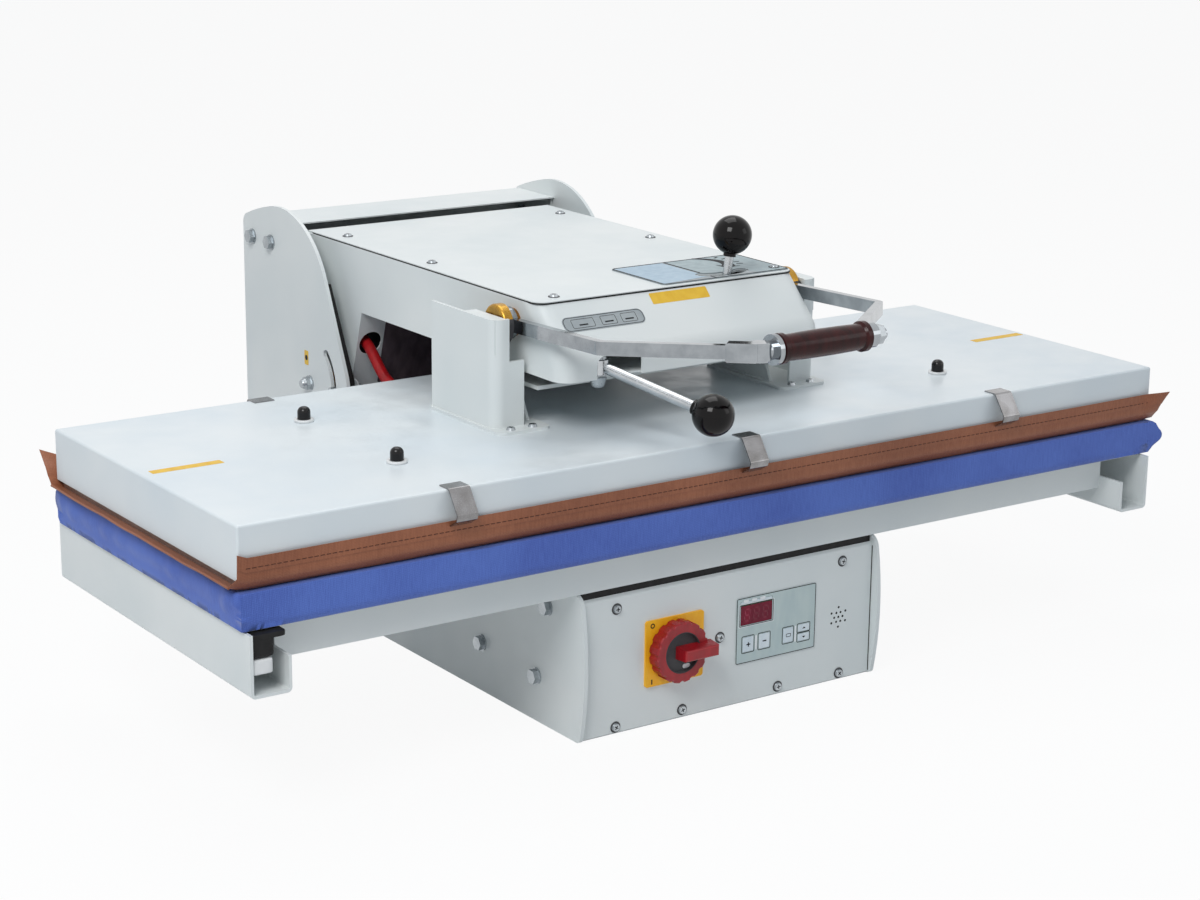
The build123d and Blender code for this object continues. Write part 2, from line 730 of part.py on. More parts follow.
# Bed plate, sponge and cloth cover
with BuildPart() as bed_plate:
    with BuildSketch(Plane.XY.offset(BOX_HEIGHT + RAIL_HEIGHT)):
        RectangleRounded(2 * BED_HALF_X, 2 * BED_HALF_Y, 8)
    extrude(amount=BED_SHEET)
save(bed_plate, "bed_plate")

with BuildPart() as foam_pad:
    with BuildSketch(Plane.XY.offset(BED_TOP)):
        RectangleRounded(2 * BED_HALF_X, 2 * BED_HALF_Y, 8)
    extrude(amount=FOAM_THICKNESS)
save(foam_pad, "foam_pad")

with BuildPart() as pad_cover:
    pad_bottom = BOX_HEIGHT + RAIL_HEIGHT
    crown_z = pad_bottom + 0.55 * (PAD_TOP - pad_bottom)
    for level, grow in (
        (pad_bottom, CLOTH),
        (crown_z, PAD_BULGE),
        (PAD_TOP, PAD_BULGE - PAD_TOP_INSET),
    ):
        with BuildSketch(Plane.XY.offset(level)):
            RectangleRounded(
                2 * (BED_HALF_X + grow), 2 * (BED_HALF_Y + min(grow, 8)), 10
            )
    loft()
    fillet(faces().sort_by(Axis.Z)[-1].edges(), radius=4)
    with BuildSketch(Plane.XY.offset(pad_bottom)):
        RectangleRounded(2 * BED_HALF_X, 2 * BED_HALF_Y, 8)
    extrude(amount=PAD_TOP - CLOTH - pad_bottom, mode=Mode.SUBTRACT)
save(pad_cover, "pad_cover")

# Platen: sheet cover, aluminium heating plate, tubular elements and cap nuts
half_x = PLATEN_WIDTH / 2
half_y = PLATEN_DEPTH / 2
with BuildPart() as platen_cover:
    with BuildSketch(Plane.XY.offset(COVER_BOTTOM)):
        RectangleRounded(PLATEN_WIDTH, PLATEN_DEPTH, COVER_EDGE)
    extrude(amount=COVER_HEIGHT)
    fillet(faces().sort_by(Axis.Z)[-1].edges(), radius=COVER_EDGE)
    with BuildSketch(Plane.XY.offset(COVER_BOTTOM)):
        Rectangle(PLATEN_WIDTH - 2 * COVER_SHEET, PLATEN_DEPTH - 2 * COVER_SHEET)
    extrude(amount=COVER_HEIGHT - COVER_SHEET, mode=Mode.SUBTRACT)
    with BuildSketch(Plane.XY.offset(COVER_TOP)):
        with GridLocations(2 * CAP_X, 2 * CAP_Y, 2, 2):
            Circle(STUD_R)
        for side in SIDES.values():
            for screw_x in BRACKET_SCREWS_X:
                with Locations((side * screw_x, BRACKET_SCREW_Y)):
                    Circle(SCREW_SHANK_R)
    extrude(amount=-2 * COVER_SHEET, mode=Mode.SUBTRACT)
    with Locations((CABLE_ROUTE[-1][0], half_y, CABLE_ROUTE[-1][2])):
        Cylinder(CABLE_R + 1, 6 * COVER_SHEET, rotation=(90, 0, 0), mode=Mode.SUBTRACT)
save(platen_cover, "platen_cover")

with BuildPart() as heating_plate:
    with BuildSketch(Plane.XY.offset(PLATE_BOTTOM)):
        RectangleRounded(
            PLATEN_WIDTH - 2 * (COVER_SHEET + PLATE_GAP),
            PLATEN_DEPTH - 2 * (COVER_SHEET + PLATE_GAP),
            3,
        )
    extrude(amount=PLATE_THICKNESS)
    with BuildSketch(Plane.XY.offset(PLATE_BOTTOM + PLATE_THICKNESS)):
        with GridLocations(2 * CAP_X, 2 * CAP_Y, 2, 2):
            Circle(STUD_R)
    extrude(amount=-10, mode=Mode.SUBTRACT)
save(heating_plate, "heating_plate")

element_z = PLATE_BOTTOM + PLATE_THICKNESS + ELEMENT_R
with BuildPart() as heating_elements:
    for side in SIDES.values():
        with BuildLine():
            hairpin = FilletPolyline(
                (-ELEMENT_HALF, side * ELEMENT_INNER_Y, element_z),
                (ELEMENT_HALF, side * ELEMENT_INNER_Y, element_z),
                (ELEMENT_HALF, side * ELEMENT_OUTER_Y, element_z),
                (-ELEMENT_HALF, side * ELEMENT_OUTER_Y, element_z),
                radius=(ELEMENT_OUTER_Y - ELEMENT_INNER_Y) / 2 - 1,
            )
        with BuildSketch(Plane(origin=hairpin @ 0, z_dir=hairpin % 0)):
            Circle(ELEMENT_R)
        sweep(path=hairpin)
save(heating_elements, "heating_elements")

with BuildPart() as cap_nuts:
    with BuildSketch(Plane.XY.offset(COVER_TOP)):
        with GridLocations(2 * CAP_X, 2 * CAP_Y, 2, 2):
            Circle(CAP_R + 1.5)
    extrude(amount=2)
    with BuildSketch(Plane.XY.offset(COVER_TOP + 2)):
        with GridLocations(2 * CAP_X, 2 * CAP_Y, 2, 2):
            Circle(CAP_R)
    extrude(amount=CAP_HEIGHT - 2)
    fillet(faces().filter_by(Axis.Z).group_by(Axis.Z)[-1].edges(), radius=CAP_R - 1)
    with BuildSketch(Plane.XY.offset(COVER_TOP)):
        with GridLocations(2 * CAP_X, 2 * CAP_Y, 2, 2):
            Circle(STUD_R)
    extrude(amount=-(COVER_TOP - PLATE_BOTTOM - PLATE_THICKNESS + 10))
save(cap_nuts, "cap_nuts")

# Release sheet under the platen, with its hems turned up at the front and the back
flap_y = half_y + SHEET_GAP + SHEET_THICKNESS
with BuildPart() as release_sheet:
    with BuildSketch(Plane.YZ.offset(-SHEET_HALF)):
        with BuildLine():
            FilletPolyline(
                (-flap_y, SHEET_BOTTOM + SHEET_FLAP),
                (-flap_y, SHEET_BOTTOM),
                (flap_y, SHEET_BOTTOM),
                (flap_y, SHEET_BOTTOM + SHEET_FLAP),
                radius=3,
            )
            offset(amount=SHEET_THICKNESS, side=Side.LEFT)
        make_face()
    extrude(amount=2 * SHEET_HALF)
save(release_sheet, "release_sheet")

# Spring clips that hold the hems against the cover
with BuildPart() as sheet_clips:
    for end in (-1, 1):
        for column in (-1, 0, 1):
            with BuildSketch(Plane.YZ.offset(column * CLIP_PITCH - CLIP_WIDTH / 2)):
                with BuildLine():
                    FilletPolyline(
                        (end * (half_y - CLIP_TONGUE), COVER_TOP),
                        (end * (half_y + 1.5), COVER_TOP),
                        (end * (half_y + CLIP_REACH), COVER_TOP - CLIP_DROP),
                        (end * (half_y + CLIP_REACH - 1.5), COVER_TOP - CLIP_DROP - 5),
                        (end * flap_y, SHEET_BOTTOM + SHEET_FLAP - 4),
                        radius=1.5,
                    )
                    offset(
                        amount=CLIP_STEEL, side=Side.RIGHT if end < 0 else Side.LEFT
                    )
                make_face()
            extrude(amount=CLIP_WIDTH)
save(sheet_clips, "sheet_clips")

# Brackets on the platen, with the bearing blocks of the eccentric journals
journal_drop = SHAFT_Z - ECCENTRICITY
for name, side in SIDES.items():
    with BuildPart() as bracket:
        with BuildSketch(Plane.XY.offset(COVER_TOP)) as plan:
            with BuildLine():
                FilletPolyline(
                    (side * BRACKET_LOW, BRACKET_FRONT),
                    (side * BRACKET_OUTER, BRACKET_FRONT),
                    (side * BRACKET_OUTER, BRACKET_REAR),
                    radius=BRACKET_BEND,
                )
                offset(amount=BRACKET_SHEET, side=Side.LEFT if side > 0 else Side.RIGHT)
            make_face()
        extrude(amount=BRACKET_HEIGHT)
        with BuildSketch(Plane.XZ.offset(-BRACKET_FRONT + 1)) as step:
            with BuildLine():
                Polyline(
                    (side * (BRACKET_LOW - 1), COVER_TOP + BRACKET_STEP),
                    (side * BRACKET_HIGH, COVER_TOP + BRACKET_STEP),
                    (side * BRACKET_HIGH, COVER_TOP + BRACKET_HEIGHT + 1),
                    (side * (BRACKET_LOW - 1), COVER_TOP + BRACKET_HEIGHT + 1),
                    close=True,
                )
            make_face()
        extrude(amount=-BRACKET_SHEET - 2, mode=Mode.SUBTRACT)
        with BuildSketch(Plane.XY.offset(COVER_TOP)) as foot:
            with Locations(
                (
                    side * (BRACKET_FOOT_INNER + BRACKET_OUTER + 3) / 2,
                    (BRACKET_FOOT_FRONT + BRACKET_REAR + 4) / 2,
                )
            ):
                RectangleRounded(
                    BRACKET_OUTER + 3 - BRACKET_FOOT_INNER,
                    BRACKET_REAR + 4 - BRACKET_FOOT_FRONT,
                    9,
                )
            for screw_x in BRACKET_SCREWS_X:
                with Locations((side * screw_x, BRACKET_SCREW_Y)):
                    Circle(SCREW_SHANK_R, mode=Mode.SUBTRACT)
        extrude(amount=BRACKET_SHEET)
        with BuildSketch(Plane.YZ.offset(side * GUSSET_X)):
            with BuildLine():
                Polyline(
                    (GUSSET_FRONT, COVER_TOP),
                    (GUSSET_FRONT + GUSSET_RAKE, COVER_TOP + GUSSET_HEIGHT),
                    (BRACKET_REAR, COVER_TOP + GUSSET_HEIGHT),
                    (BRACKET_REAR, COVER_TOP),
                    close=True,
                )
            make_face()
        extrude(amount=side * BRACKET_SHEET)
        block_x = SHAFT_HALF + 0.5
        with BuildSketch(Plane.YZ.offset(side * block_x)):
            with Locations((BLOCK_FRONT, COVER_TOP + BRACKET_HEIGHT)):
                Rectangle(
                    BLOCK_REAR - BLOCK_FRONT, 34, align=(Align.MIN, Align.MAX)
                )
            with Locations((SHAFT_Y - ECCENTRICITY / 2, journal_drop - 0.4)):
                SlotCenterToCenter(
                    ECCENTRICITY, 2 * JOURNAL_R + 2.6, mode=Mode.SUBTRACT
                )
        extrude(amount=side * (BRACKET_OUTER - BRACKET_SHEET - block_x))
    save(bracket, f"{name}_bracket")

with BuildPart() as yoke_plate:
    with BuildSketch(Plane.XY.offset(COVER_TOP + YOKE_Z)):
        with Locations((0, (YOKE_FRONT + YOKE_REAR) / 2)):
            Rectangle(2 * GUSSET_X, YOKE_REAR - YOKE_FRONT)
    extrude(amount=YOKE_SHEET)
save(yoke_plate, "yoke_plate")

screw_spots = [
    (side * screw_x, BRACKET_SCREW_Y)
    for side in SIDES.values()
    for screw_x in BRACKET_SCREWS_X
]
with BuildPart() as bracket_screws:
    with BuildSketch(Plane.XY.offset(COVER_TOP + BRACKET_SHEET)):
        with Locations(*screw_spots):
            Circle(SCREW_HEAD_R)
    extrude(amount=SCREW_HEAD, taper=20)
    with BuildSketch(Plane.XY.offset(COVER_TOP + BRACKET_SHEET)):
        with Locations(*screw_spots):
            Circle(SCREW_SHANK_R)
    extrude(amount=-SCREW_LENGTH)
save(bracket_screws, "bracket_screws")

# Arm housing: bent sheet with a sloping nose, and a closed leg that reaches down to the pivot
nose_z = COVER_TOP + ARM_NOSE_Z
leg_rake = (ARM_LEG_TOE - ARM_LEG_FRONT) / (ARM_UNDER_Z - ARM_LEG_BOTTOM)
wall_toe = ARM_LEG_FRONT + (ARM_UNDER_Z - ARM_WALL_BOTTOM) * leg_rake
hole_y = ARM_LEG_FRONT + (ARM_UNDER_Z - CABLE_HOLE_Z) * leg_rake
wall_plane = Plane(
    origin=(CABLE_HOLE_X, hole_y, CABLE_HOLE_Z), x_dir=(1, 0, 0), z_dir=(0, -1, -leg_rake)
)
arm_axes = ((PIVOT_Y, PIVOT_Z), (SHAFT_Y, SHAFT_Z))
bush_r = SHAFT_R + BUSH_WALL


def arm_outline(inset):
    """Side view of the housing, drawn in by the inset where it has a wall."""
    slope = (ARM_FRONT - ARM_COVER_FRONT) / (nose_z - HOUSING_TOP)
    shift = inset * sqrt(1 + slope**2)
    return (
        (ARM_COVER_FRONT + shift, HOUSING_TOP),
        (ARM_FRONT + inset, nose_z - inset * 0.45),
        (ARM_FRONT + inset, ARM_UNDER_Z),
        (ARM_LEG_FRONT, ARM_UNDER_Z),
        (ARM_LEG_TOE, ARM_LEG_BOTTOM),
        (ARM_COVER_REAR, ARM_LEG_BOTTOM),
        (ARM_COVER_REAR, HOUSING_TOP),
    )


def lever_slot(width, sweep):
    """Slot along the path of the top lever's rod, centred on the lever's spindle."""
    path = CenterArc(
        (PRESSURE_X, PRESSURE_Y), PRESSURE_REACH, -90 - sweep, 2 * sweep, mode=Mode.PRIVATE
    )
    return SlotArc(path, height=width, mode=Mode.SUBTRACT)


def arm_hull(inset):
    """Solid body of the housing, drawn in by the inset, with rounded corners on the nose."""
    with BuildPart() as hull:
        with BuildSketch(Plane.YZ.offset(-ARM_HALF + inset)) as profile:
            with BuildLine():
                Polyline(*arm_outline(inset), close=True)
            make_face()
            fillet(corner(profile, ARM_FRONT + inset, nose_z), radius=22)
        extrude(amount=2 * (ARM_HALF - inset))
        upright = hull.edges().filter_by(
            lambda e: e.center().Y < ARM_COVER_FRONT + 8
            and abs(abs(e.center().X) - ARM_HALF + inset) < 0.1
            and e.center().Z > ARM_UNDER_Z + 1
        )
        fillet(upright, radius=ARM_CORNER_R - inset)
    return hull.part


# The hollow of the housing, with the rim, the lip and the leg's front wall left standing
with BuildPart() as arm_hollow:
    add(arm_hull(ARM_SHEET))
    with BuildSketch(Plane.XY.offset(HOUSING_TOP)):
        with Locations((0, ARM_COVER_FRONT - 5)):
            Rectangle(
                2 * ARM_HALF,
                ARM_COVER_REAR - ARM_COVER_FRONT + 10,
                align=(Align.CENTER, Align.MIN),
            )
        with Locations((0, ARM_COVER_FRONT + COVER_RIM + 22)):
            Rectangle(
                2 * (ARM_HALF - COVER_RIM - 12),
                ARM_COVER_REAR - ARM_COVER_FRONT - 2 * COVER_RIM - 22,
                align=(Align.CENTER, Align.MIN),
                mode=Mode.SUBTRACT,
            )
        with Locations((0, ARM_COVER_FRONT + COVER_RIM)):
            Rectangle(
                2 * (PRESSURE_X + 34), 30, align=(Align.CENTER, Align.MIN), mode=Mode.SUBTRACT
            )
    extrude(amount=-ARM_SHEET, mode=Mode.SUBTRACT)
    with BuildSketch(Plane.XY.offset(ARM_UNDER_Z - 1)):
        with Locations((0, ARM_FRONT)):
            Rectangle(2 * ARM_HALF, LIP_DEPTH, align=(Align.CENTER, Align.MIN))
    extrude(amount=ARM_SHEET + 1, mode=Mode.SUBTRACT)
    with BuildSketch(Plane.YZ.offset(-ARM_HALF)):
        with BuildLine():
            Polyline(
                (ARM_LEG_FRONT - 0.5, ARM_UNDER_Z),
                (wall_toe - 0.5, ARM_WALL_BOTTOM),
                (wall_toe + ARM_SHEET, ARM_WALL_BOTTOM),
                (ARM_LEG_FRONT + ARM_SHEET, ARM_UNDER_Z),
                close=True,
            )
        make_face()
    extrude(amount=2 * ARM_HALF, mode=Mode.SUBTRACT)

with BuildPart() as arm_housing:
    add(arm_hull(0))
    for side in SIDES.values():
        with BuildSketch(side_face(side, ARM_HALF)):
            with Locations((STOP_Y, STOP_Z)):
                Circle(2.4 * STOP_PIN_R)
        extrude(amount=-side * ARM_SHEET)
    add(arm_hollow.part, mode=Mode.SUBTRACT)
    with BuildSketch(wall_plane):
        Circle(CABLE_HOLE_R)
    extrude(amount=3 * ARM_SHEET, both=True, mode=Mode.SUBTRACT)
    for side in SIDES.values():
        with BuildSketch(side_face(side, ARM_HALF + 1)):
            with Locations(*arm_axes):
                Circle(bush_r)
            with Locations((STOP_Y, STOP_Z)):
                Circle(STOP_PIN_R)
        extrude(amount=-side * (ARM_SHEET + 2), mode=Mode.SUBTRACT)
    with BuildSketch(Plane.XY.offset(HOUSING_TOP + 1)):
        with Locations(*COVER_SCREWS):
            Circle(SCREW_SHANK_R)
    extrude(amount=-ARM_SHEET - 2, mode=Mode.SUBTRACT)
    with BuildSketch(Plane.XY.offset(ARM_UNDER_Z - 1)):
        with Locations((RELEASE_X, RELEASE_Y)):
            Circle(SPINDLE_R)
    extrude(amount=ARM_SHEET + 2, mode=Mode.SUBTRACT)
    with BuildSketch(Plane.XZ.offset(-ARM_FRONT + 1)) as notch:
        with Locations(((NOTCH_LEFT + NOTCH_RIGHT) / 2, ARM_UNDER_Z - 10)):
            Rectangle(
                NOTCH_RIGHT - NOTCH_LEFT, NOTCH_HEIGHT + 10, align=(Align.CENTER, Align.MIN)
            )
        for notch_x in (NOTCH_LEFT, NOTCH_RIGHT):
            fillet(corner(notch, notch_x, ARM_UNDER_Z + NOTCH_HEIGHT), radius=9)
    extrude(amount=-6.5, mode=Mode.SUBTRACT)
save(arm_housing, "arm_housing")

# Screwed top cover with the slot of the top lever
with BuildPart() as arm_top_cover:
    with BuildSketch(Plane.XY.offset(HOUSING_TOP)) as lid:
        with Locations((0, ARM_COVER_FRONT)):
            Rectangle(
                2 * ARM_HALF - 4,
                ARM_COVER_REAR - ARM_COVER_FRONT,
                align=(Align.CENTER, Align.MIN),
            )
        for side in SIDES.values():
            fillet(
                corner(lid, side * (ARM_HALF - 2), ARM_COVER_FRONT), radius=COVER_CORNER_R
            )
        lever_slot(PRESSURE_SLOT, PRESSURE_SWING)
        with Locations(*COVER_SCREWS):
            Circle(SCREW_SHANK_R, mode=Mode.SUBTRACT)
    extrude(amount=COVER_PLATE)
save(arm_top_cover, "arm_top_cover")

with BuildPart() as scale_plate:
    with BuildSketch(Plane.XY.offset(ARM_TOP_Z)):
        with Locations(
            ((SCALE_LEFT + SCALE_RIGHT) / 2, (SCALE_FRONT + SCALE_BACK) / 2)
        ):
            RectangleRounded(SCALE_RIGHT - SCALE_LEFT, SCALE_BACK - SCALE_FRONT, 5)
        lever_slot(PRESSURE_SLOT + 2, PRESSURE_SWING + 1)
        with Locations(COVER_SCREWS[1]):
            Circle(SCREW_SHANK_R, mode=Mode.SUBTRACT)
    extrude(amount=SCALE_PLATE)
save(scale_plate, "scale_plate")

screw_seats = [
    (x, y, ARM_TOP_Z + (SCALE_PLATE if x > SCALE_LEFT and y < SCALE_BACK else 0))
    for x, y in COVER_SCREWS
]
with BuildPart() as cover_screws:
    with BuildSketch(*[Plane(origin=seat) for seat in screw_seats]):
        Circle(SCREW_HEAD_R)
    extrude(amount=SCREW_HEAD, taper=20)
    with BuildSketch(*[Plane(origin=seat) for seat in screw_seats]):
        Circle(SCREW_SHANK_R)
    extrude(amount=-SCREW_LENGTH)
save(cover_screws, "cover_screws")

# Welded inner frame: two beams, three ties, crank pins and the spindle of the top lever
beam_top = COVER_TOP + BEAM_TOP
beam_bottom = COVER_TOP + BEAM_BOTTOM
with BuildPart() as arm_frame:
    for side in SIDES.values():
        with BuildSketch(side_face(side, BEAM_X)) as beam:
            with BuildLine():
                Polyline(
                    (BEAM_FRONT, beam_bottom),
                    (BEAM_FRONT, beam_top),
                    (ARM_COVER_REAR - 12, beam_top),
                    (ARM_COVER_REAR - 12, ARM_LEG_BOTTOM + 7),
                    (CRANK_Y, ARM_LEG_BOTTOM + 13),
                    (CRANK_Y, CRANK_Z + 10),
                    (wall_toe + 8, ARM_WALL_BOTTOM),
                    (ARM_LEG_FRONT + 10, ARM_UNDER_Z),
                    (ARM_LEG_FRONT - 12, beam_bottom),
                    close=True,
                )
            make_face()
            fillet(corner(beam, BEAM_FRONT, beam_bottom), radius=14)
            with Locations((CRANK_Y, CRANK_Z)):
                Circle(3 * CRANK_PIN_R)
            with Locations(*arm_axes):
                Circle(bush_r, mode=Mode.SUBTRACT)
        extrude(amount=side * BEAM_SHEET)
        with BuildSketch(along_x(side, BEAM_X + BEAM_SHEET, CRANK_Y, CRANK_Z)):
            Circle(CRANK_PIN_R)
        extrude(amount=GAS_X + 8 - BEAM_X - BEAM_SHEET)
        with BuildSketch(along_x(side, GAS_X + 6, CRANK_Y, CRANK_Z)):
            Circle(2.4 * CRANK_PIN_R)
        extrude(amount=3)
    for tie_y, tie_width in ((22.0, 48.0), (230.0, 60.0)):
        with BuildSketch(Plane.XY.offset(beam_top - 6)):
            with Locations((0, tie_y)):
                Rectangle(2 * BEAM_X, tie_width)
        extrude(amount=-6)
    with BuildSketch(Plane.XZ.offset(-ARM_COVER_REAR + 20)):
        with Locations((0, beam_top - 10)):
            Rectangle(2 * BEAM_X, 120, align=(Align.CENTER, Align.MAX))
    extrude(amount=-6)
    with BuildSketch(Plane.XY.offset(beam_top - 6)):
        with Locations((PRESSURE_X, PRESSURE_Y)):
            Circle(SPINDLE_R)
    extrude(amount=10)
save(arm_frame, "arm_frame")

# Flanged bronze bushes of the pivot and of the cross shaft
bush_ends = [
    along_x(side, BEAM_X - BUSH_FLANGE, y, z) for side in SIDES.values() for y, z in arm_axes
]
with BuildPart() as arm_bushes:
    with BuildSketch(*bush_ends):
        Circle(bush_r + 3)
    extrude(amount=BUSH_FLANGE)
    with BuildSketch(*bush_ends):
        Circle(bush_r)
    extrude(amount=ARM_HALF + 3 - BEAM_X + BUSH_FLANGE)
    with BuildSketch(*bush_ends):
        Circle(SHAFT_R + RUNNING_FIT)
    extrude(amount=ARM_HALF, mode=Mode.SUBTRACT)
save(arm_bushes, "arm_bushes")

with BuildPart() as stop_pins:
    for side in SIDES.values():
        with BuildSketch(along_x(side, ARM_HALF - 8, STOP_Y, STOP_Z)):
            Circle(STOP_PIN_R)
        extrude(amount=SIDE_HALF + 5 - ARM_HALF + 8)
save(stop_pins, "stop_pins")

# Riveted pin of the lower lever, domed under the lip and peened over a washer on top
eye_bottom = ARM_UNDER_Z + ARM_SHEET + 1.5
eye_height = 14.0
with BuildPart() as lever_bolt:
    with BuildSketch(Plane.XY.offset(ARM_UNDER_Z)):
        with Locations((RELEASE_X, RELEASE_Y)):
            Circle(9)
    extrude(amount=-11, taper=16)
    fillet(faces().sort_by(Axis.Z)[0].edges(), radius=4)
    with BuildSketch(Plane.XY.offset(ARM_UNDER_Z)):
        with Locations((RELEASE_X, RELEASE_Y)):
            Circle(SPINDLE_R)
    extrude(amount=eye_bottom + eye_height + 1 - ARM_UNDER_Z)
    with BuildSketch(Plane.XY.offset(ARM_UNDER_Z + ARM_SHEET)):
        with Locations((RELEASE_X, RELEASE_Y)):
            Circle(SPINDLE_R + 3)
    extrude(amount=1.1)
    with BuildSketch(Plane.XY.offset(eye_bottom + eye_height + 0.4)):
        with Locations((RELEASE_X, RELEASE_Y)):
            Circle(8.5)
    extrude(amount=3)
save(lever_bolt, "lever_bolt")

# Lower lever: eye, straight rod and ball
rod_start = (RELEASE_X, RELEASE_Y, eye_bottom + eye_height / 2 + 1)
rod_end = RELEASE_BALL
rod_span = [b - a for a, b in zip(rod_start, rod_end)]
rod_length = sqrt(sum(d * d for d in rod_span))
with BuildPart() as release_rod:
    with BuildSketch(Plane(origin=rod_start, z_dir=rod_span)):
        Circle(RELEASE_ROD_R)
    extrude(amount=rod_length - BALL_R + 8)
    with BuildSketch(Plane.XY.offset(eye_bottom)):
        with Locations((RELEASE_X, RELEASE_Y)):
            Circle(2 * RELEASE_ROD_R)
    extrude(amount=eye_height)
    with BuildSketch(Plane.XY.offset(eye_bottom)):
        with Locations((RELEASE_X, RELEASE_Y)):
            Circle(SPINDLE_R + RUNNING_FIT)
    extrude(amount=eye_height, mode=Mode.SUBTRACT)
save(release_rod, "release_rod")

with BuildPart() as release_ball:
    with Locations(rod_end):
        Sphere(BALL_R)
    with BuildSketch(Plane(origin=rod_end, z_dir=[-d for d in rod_span])):
        Circle(RELEASE_ROD_R + 2)
    extrude(amount=BALL_R + 1.5)
    with BuildSketch(Plane(origin=rod_end, z_dir=[-d for d in rod_span]).offset(BALL_R - 8)):
        Circle(RELEASE_ROD_R)
    extrude(amount=12, mode=Mode.SUBTRACT)
save(release_ball, "release_ball")

# Top lever: hub on the frame's spindle, arm under the cover, rod through the slot and ball
hub_bottom = beam_top - 5.7
rod_top = (PRESSURE_BALL[0], PRESSURE_Y - PRESSURE_REACH, PRESSURE_BALL[1])
rod_foot = (PRESSURE_X, PRESSURE_Y - PRESSURE_REACH, beam_top)
rise = [b - a for a, b in zip(rod_foot, rod_top)]
rise_length = sqrt(sum(d * d for d in rise))
with BuildPart() as pressure_rod:
    with BuildSketch(Plane.XY.offset(hub_bottom)):
        with Locations((PRESSURE_X, PRESSURE_Y)):
            Circle(12)
    extrude(amount=8.2)
    with BuildSketch(Plane.XY.offset(hub_bottom + 2.2)):
        with Locations((PRESSURE_X, PRESSURE_Y - PRESSURE_REACH / 2)):
            SlotCenterToCenter(PRESSURE_REACH, 12, rotation=90)
    extrude(amount=6)
    with BuildSketch(Plane(origin=rod_foot, z_dir=rise)):
        Circle(PRESSURE_ROD_R)
    extrude(amount=rise_length - BALL_R + 8)
    with BuildSketch(Plane.XY.offset(hub_bottom)):
        with Locations((PRESSURE_X, PRESSURE_Y)):
            Circle(SPINDLE_R + RUNNING_FIT)
    extrude(amount=10, mode=Mode.SUBTRACT)
save(pressure_rod, "pressure_rod")

with BuildPart() as pressure_ball:
    with Locations(rod_top):
        Sphere(BALL_R - 0.5)
    with BuildSketch(Plane(origin=rod_top, z_dir=[-d for d in rise])):
        Circle(PRESSURE_ROD_R + 2)
    extrude(amount=BALL_R + 1.5)
    with BuildSketch(Plane(origin=rod_top, z_dir=[-d for d in rise]).offset(BALL_R - 8)):
        Circle(PRESSURE_ROD_R)
    extrude(amount=12, mode=Mode.SUBTRACT)
save(pressure_ball, "pressure_ball")

# Cross shaft with eccentric journals, brass rings and the bail's bars
with BuildPart() as cross_shaft:
    with BuildSketch(along_x(1, -SHAFT_HALF, SHAFT_Y, SHAFT_Z)):
        Circle(SHAFT_R)
    extrude(amount=2 * SHAFT_HALF)
    for side in SIDES.values():
        with BuildSketch(along_x(side, SHAFT_HALF, SHAFT_Y, SHAFT_Z - ECCENTRICITY)):
            Circle(JOURNAL_R)
        extrude(amount=JOURNAL_LENGTH)
        with BuildSketch(along_x(side, SHAFT_HALF - 1.2, SHAFT_Y, SHAFT_Z)):
            Circle(SHAFT_R)
        extrude(amount=1.2)
        with BuildSketch(along_x(side, SHAFT_HALF - 1.2, SHAFT_Y, SHAFT_Z - ECCENTRICITY)):
            Circle(JOURNAL_R)
        extrude(amount=1.2)
save(cross_shaft, "cross_shaft")

hub_planes = [
    along_x(side, BAR_X + BAR_THICKNESS / 2, SHAFT_Y, SHAFT_Z) for side in SIDES.values()
]
with BuildPart() as bail_hubs:
    with BuildSketch(*hub_planes):
        Circle(HUB_R)
        Circle(SHAFT_R, mode=Mode.SUBTRACT)
    extrude(amount=HUB_WIDTH)
    fillet(
        edges().filter_by(GeomType.CIRCLE).filter_by(
            lambda e: abs(e.radius - HUB_R) < 0.1 and abs(e.center().X) > BAR_X + 8
        ),
        radius=3,
    )
save(bail_hubs, "bail_hubs")

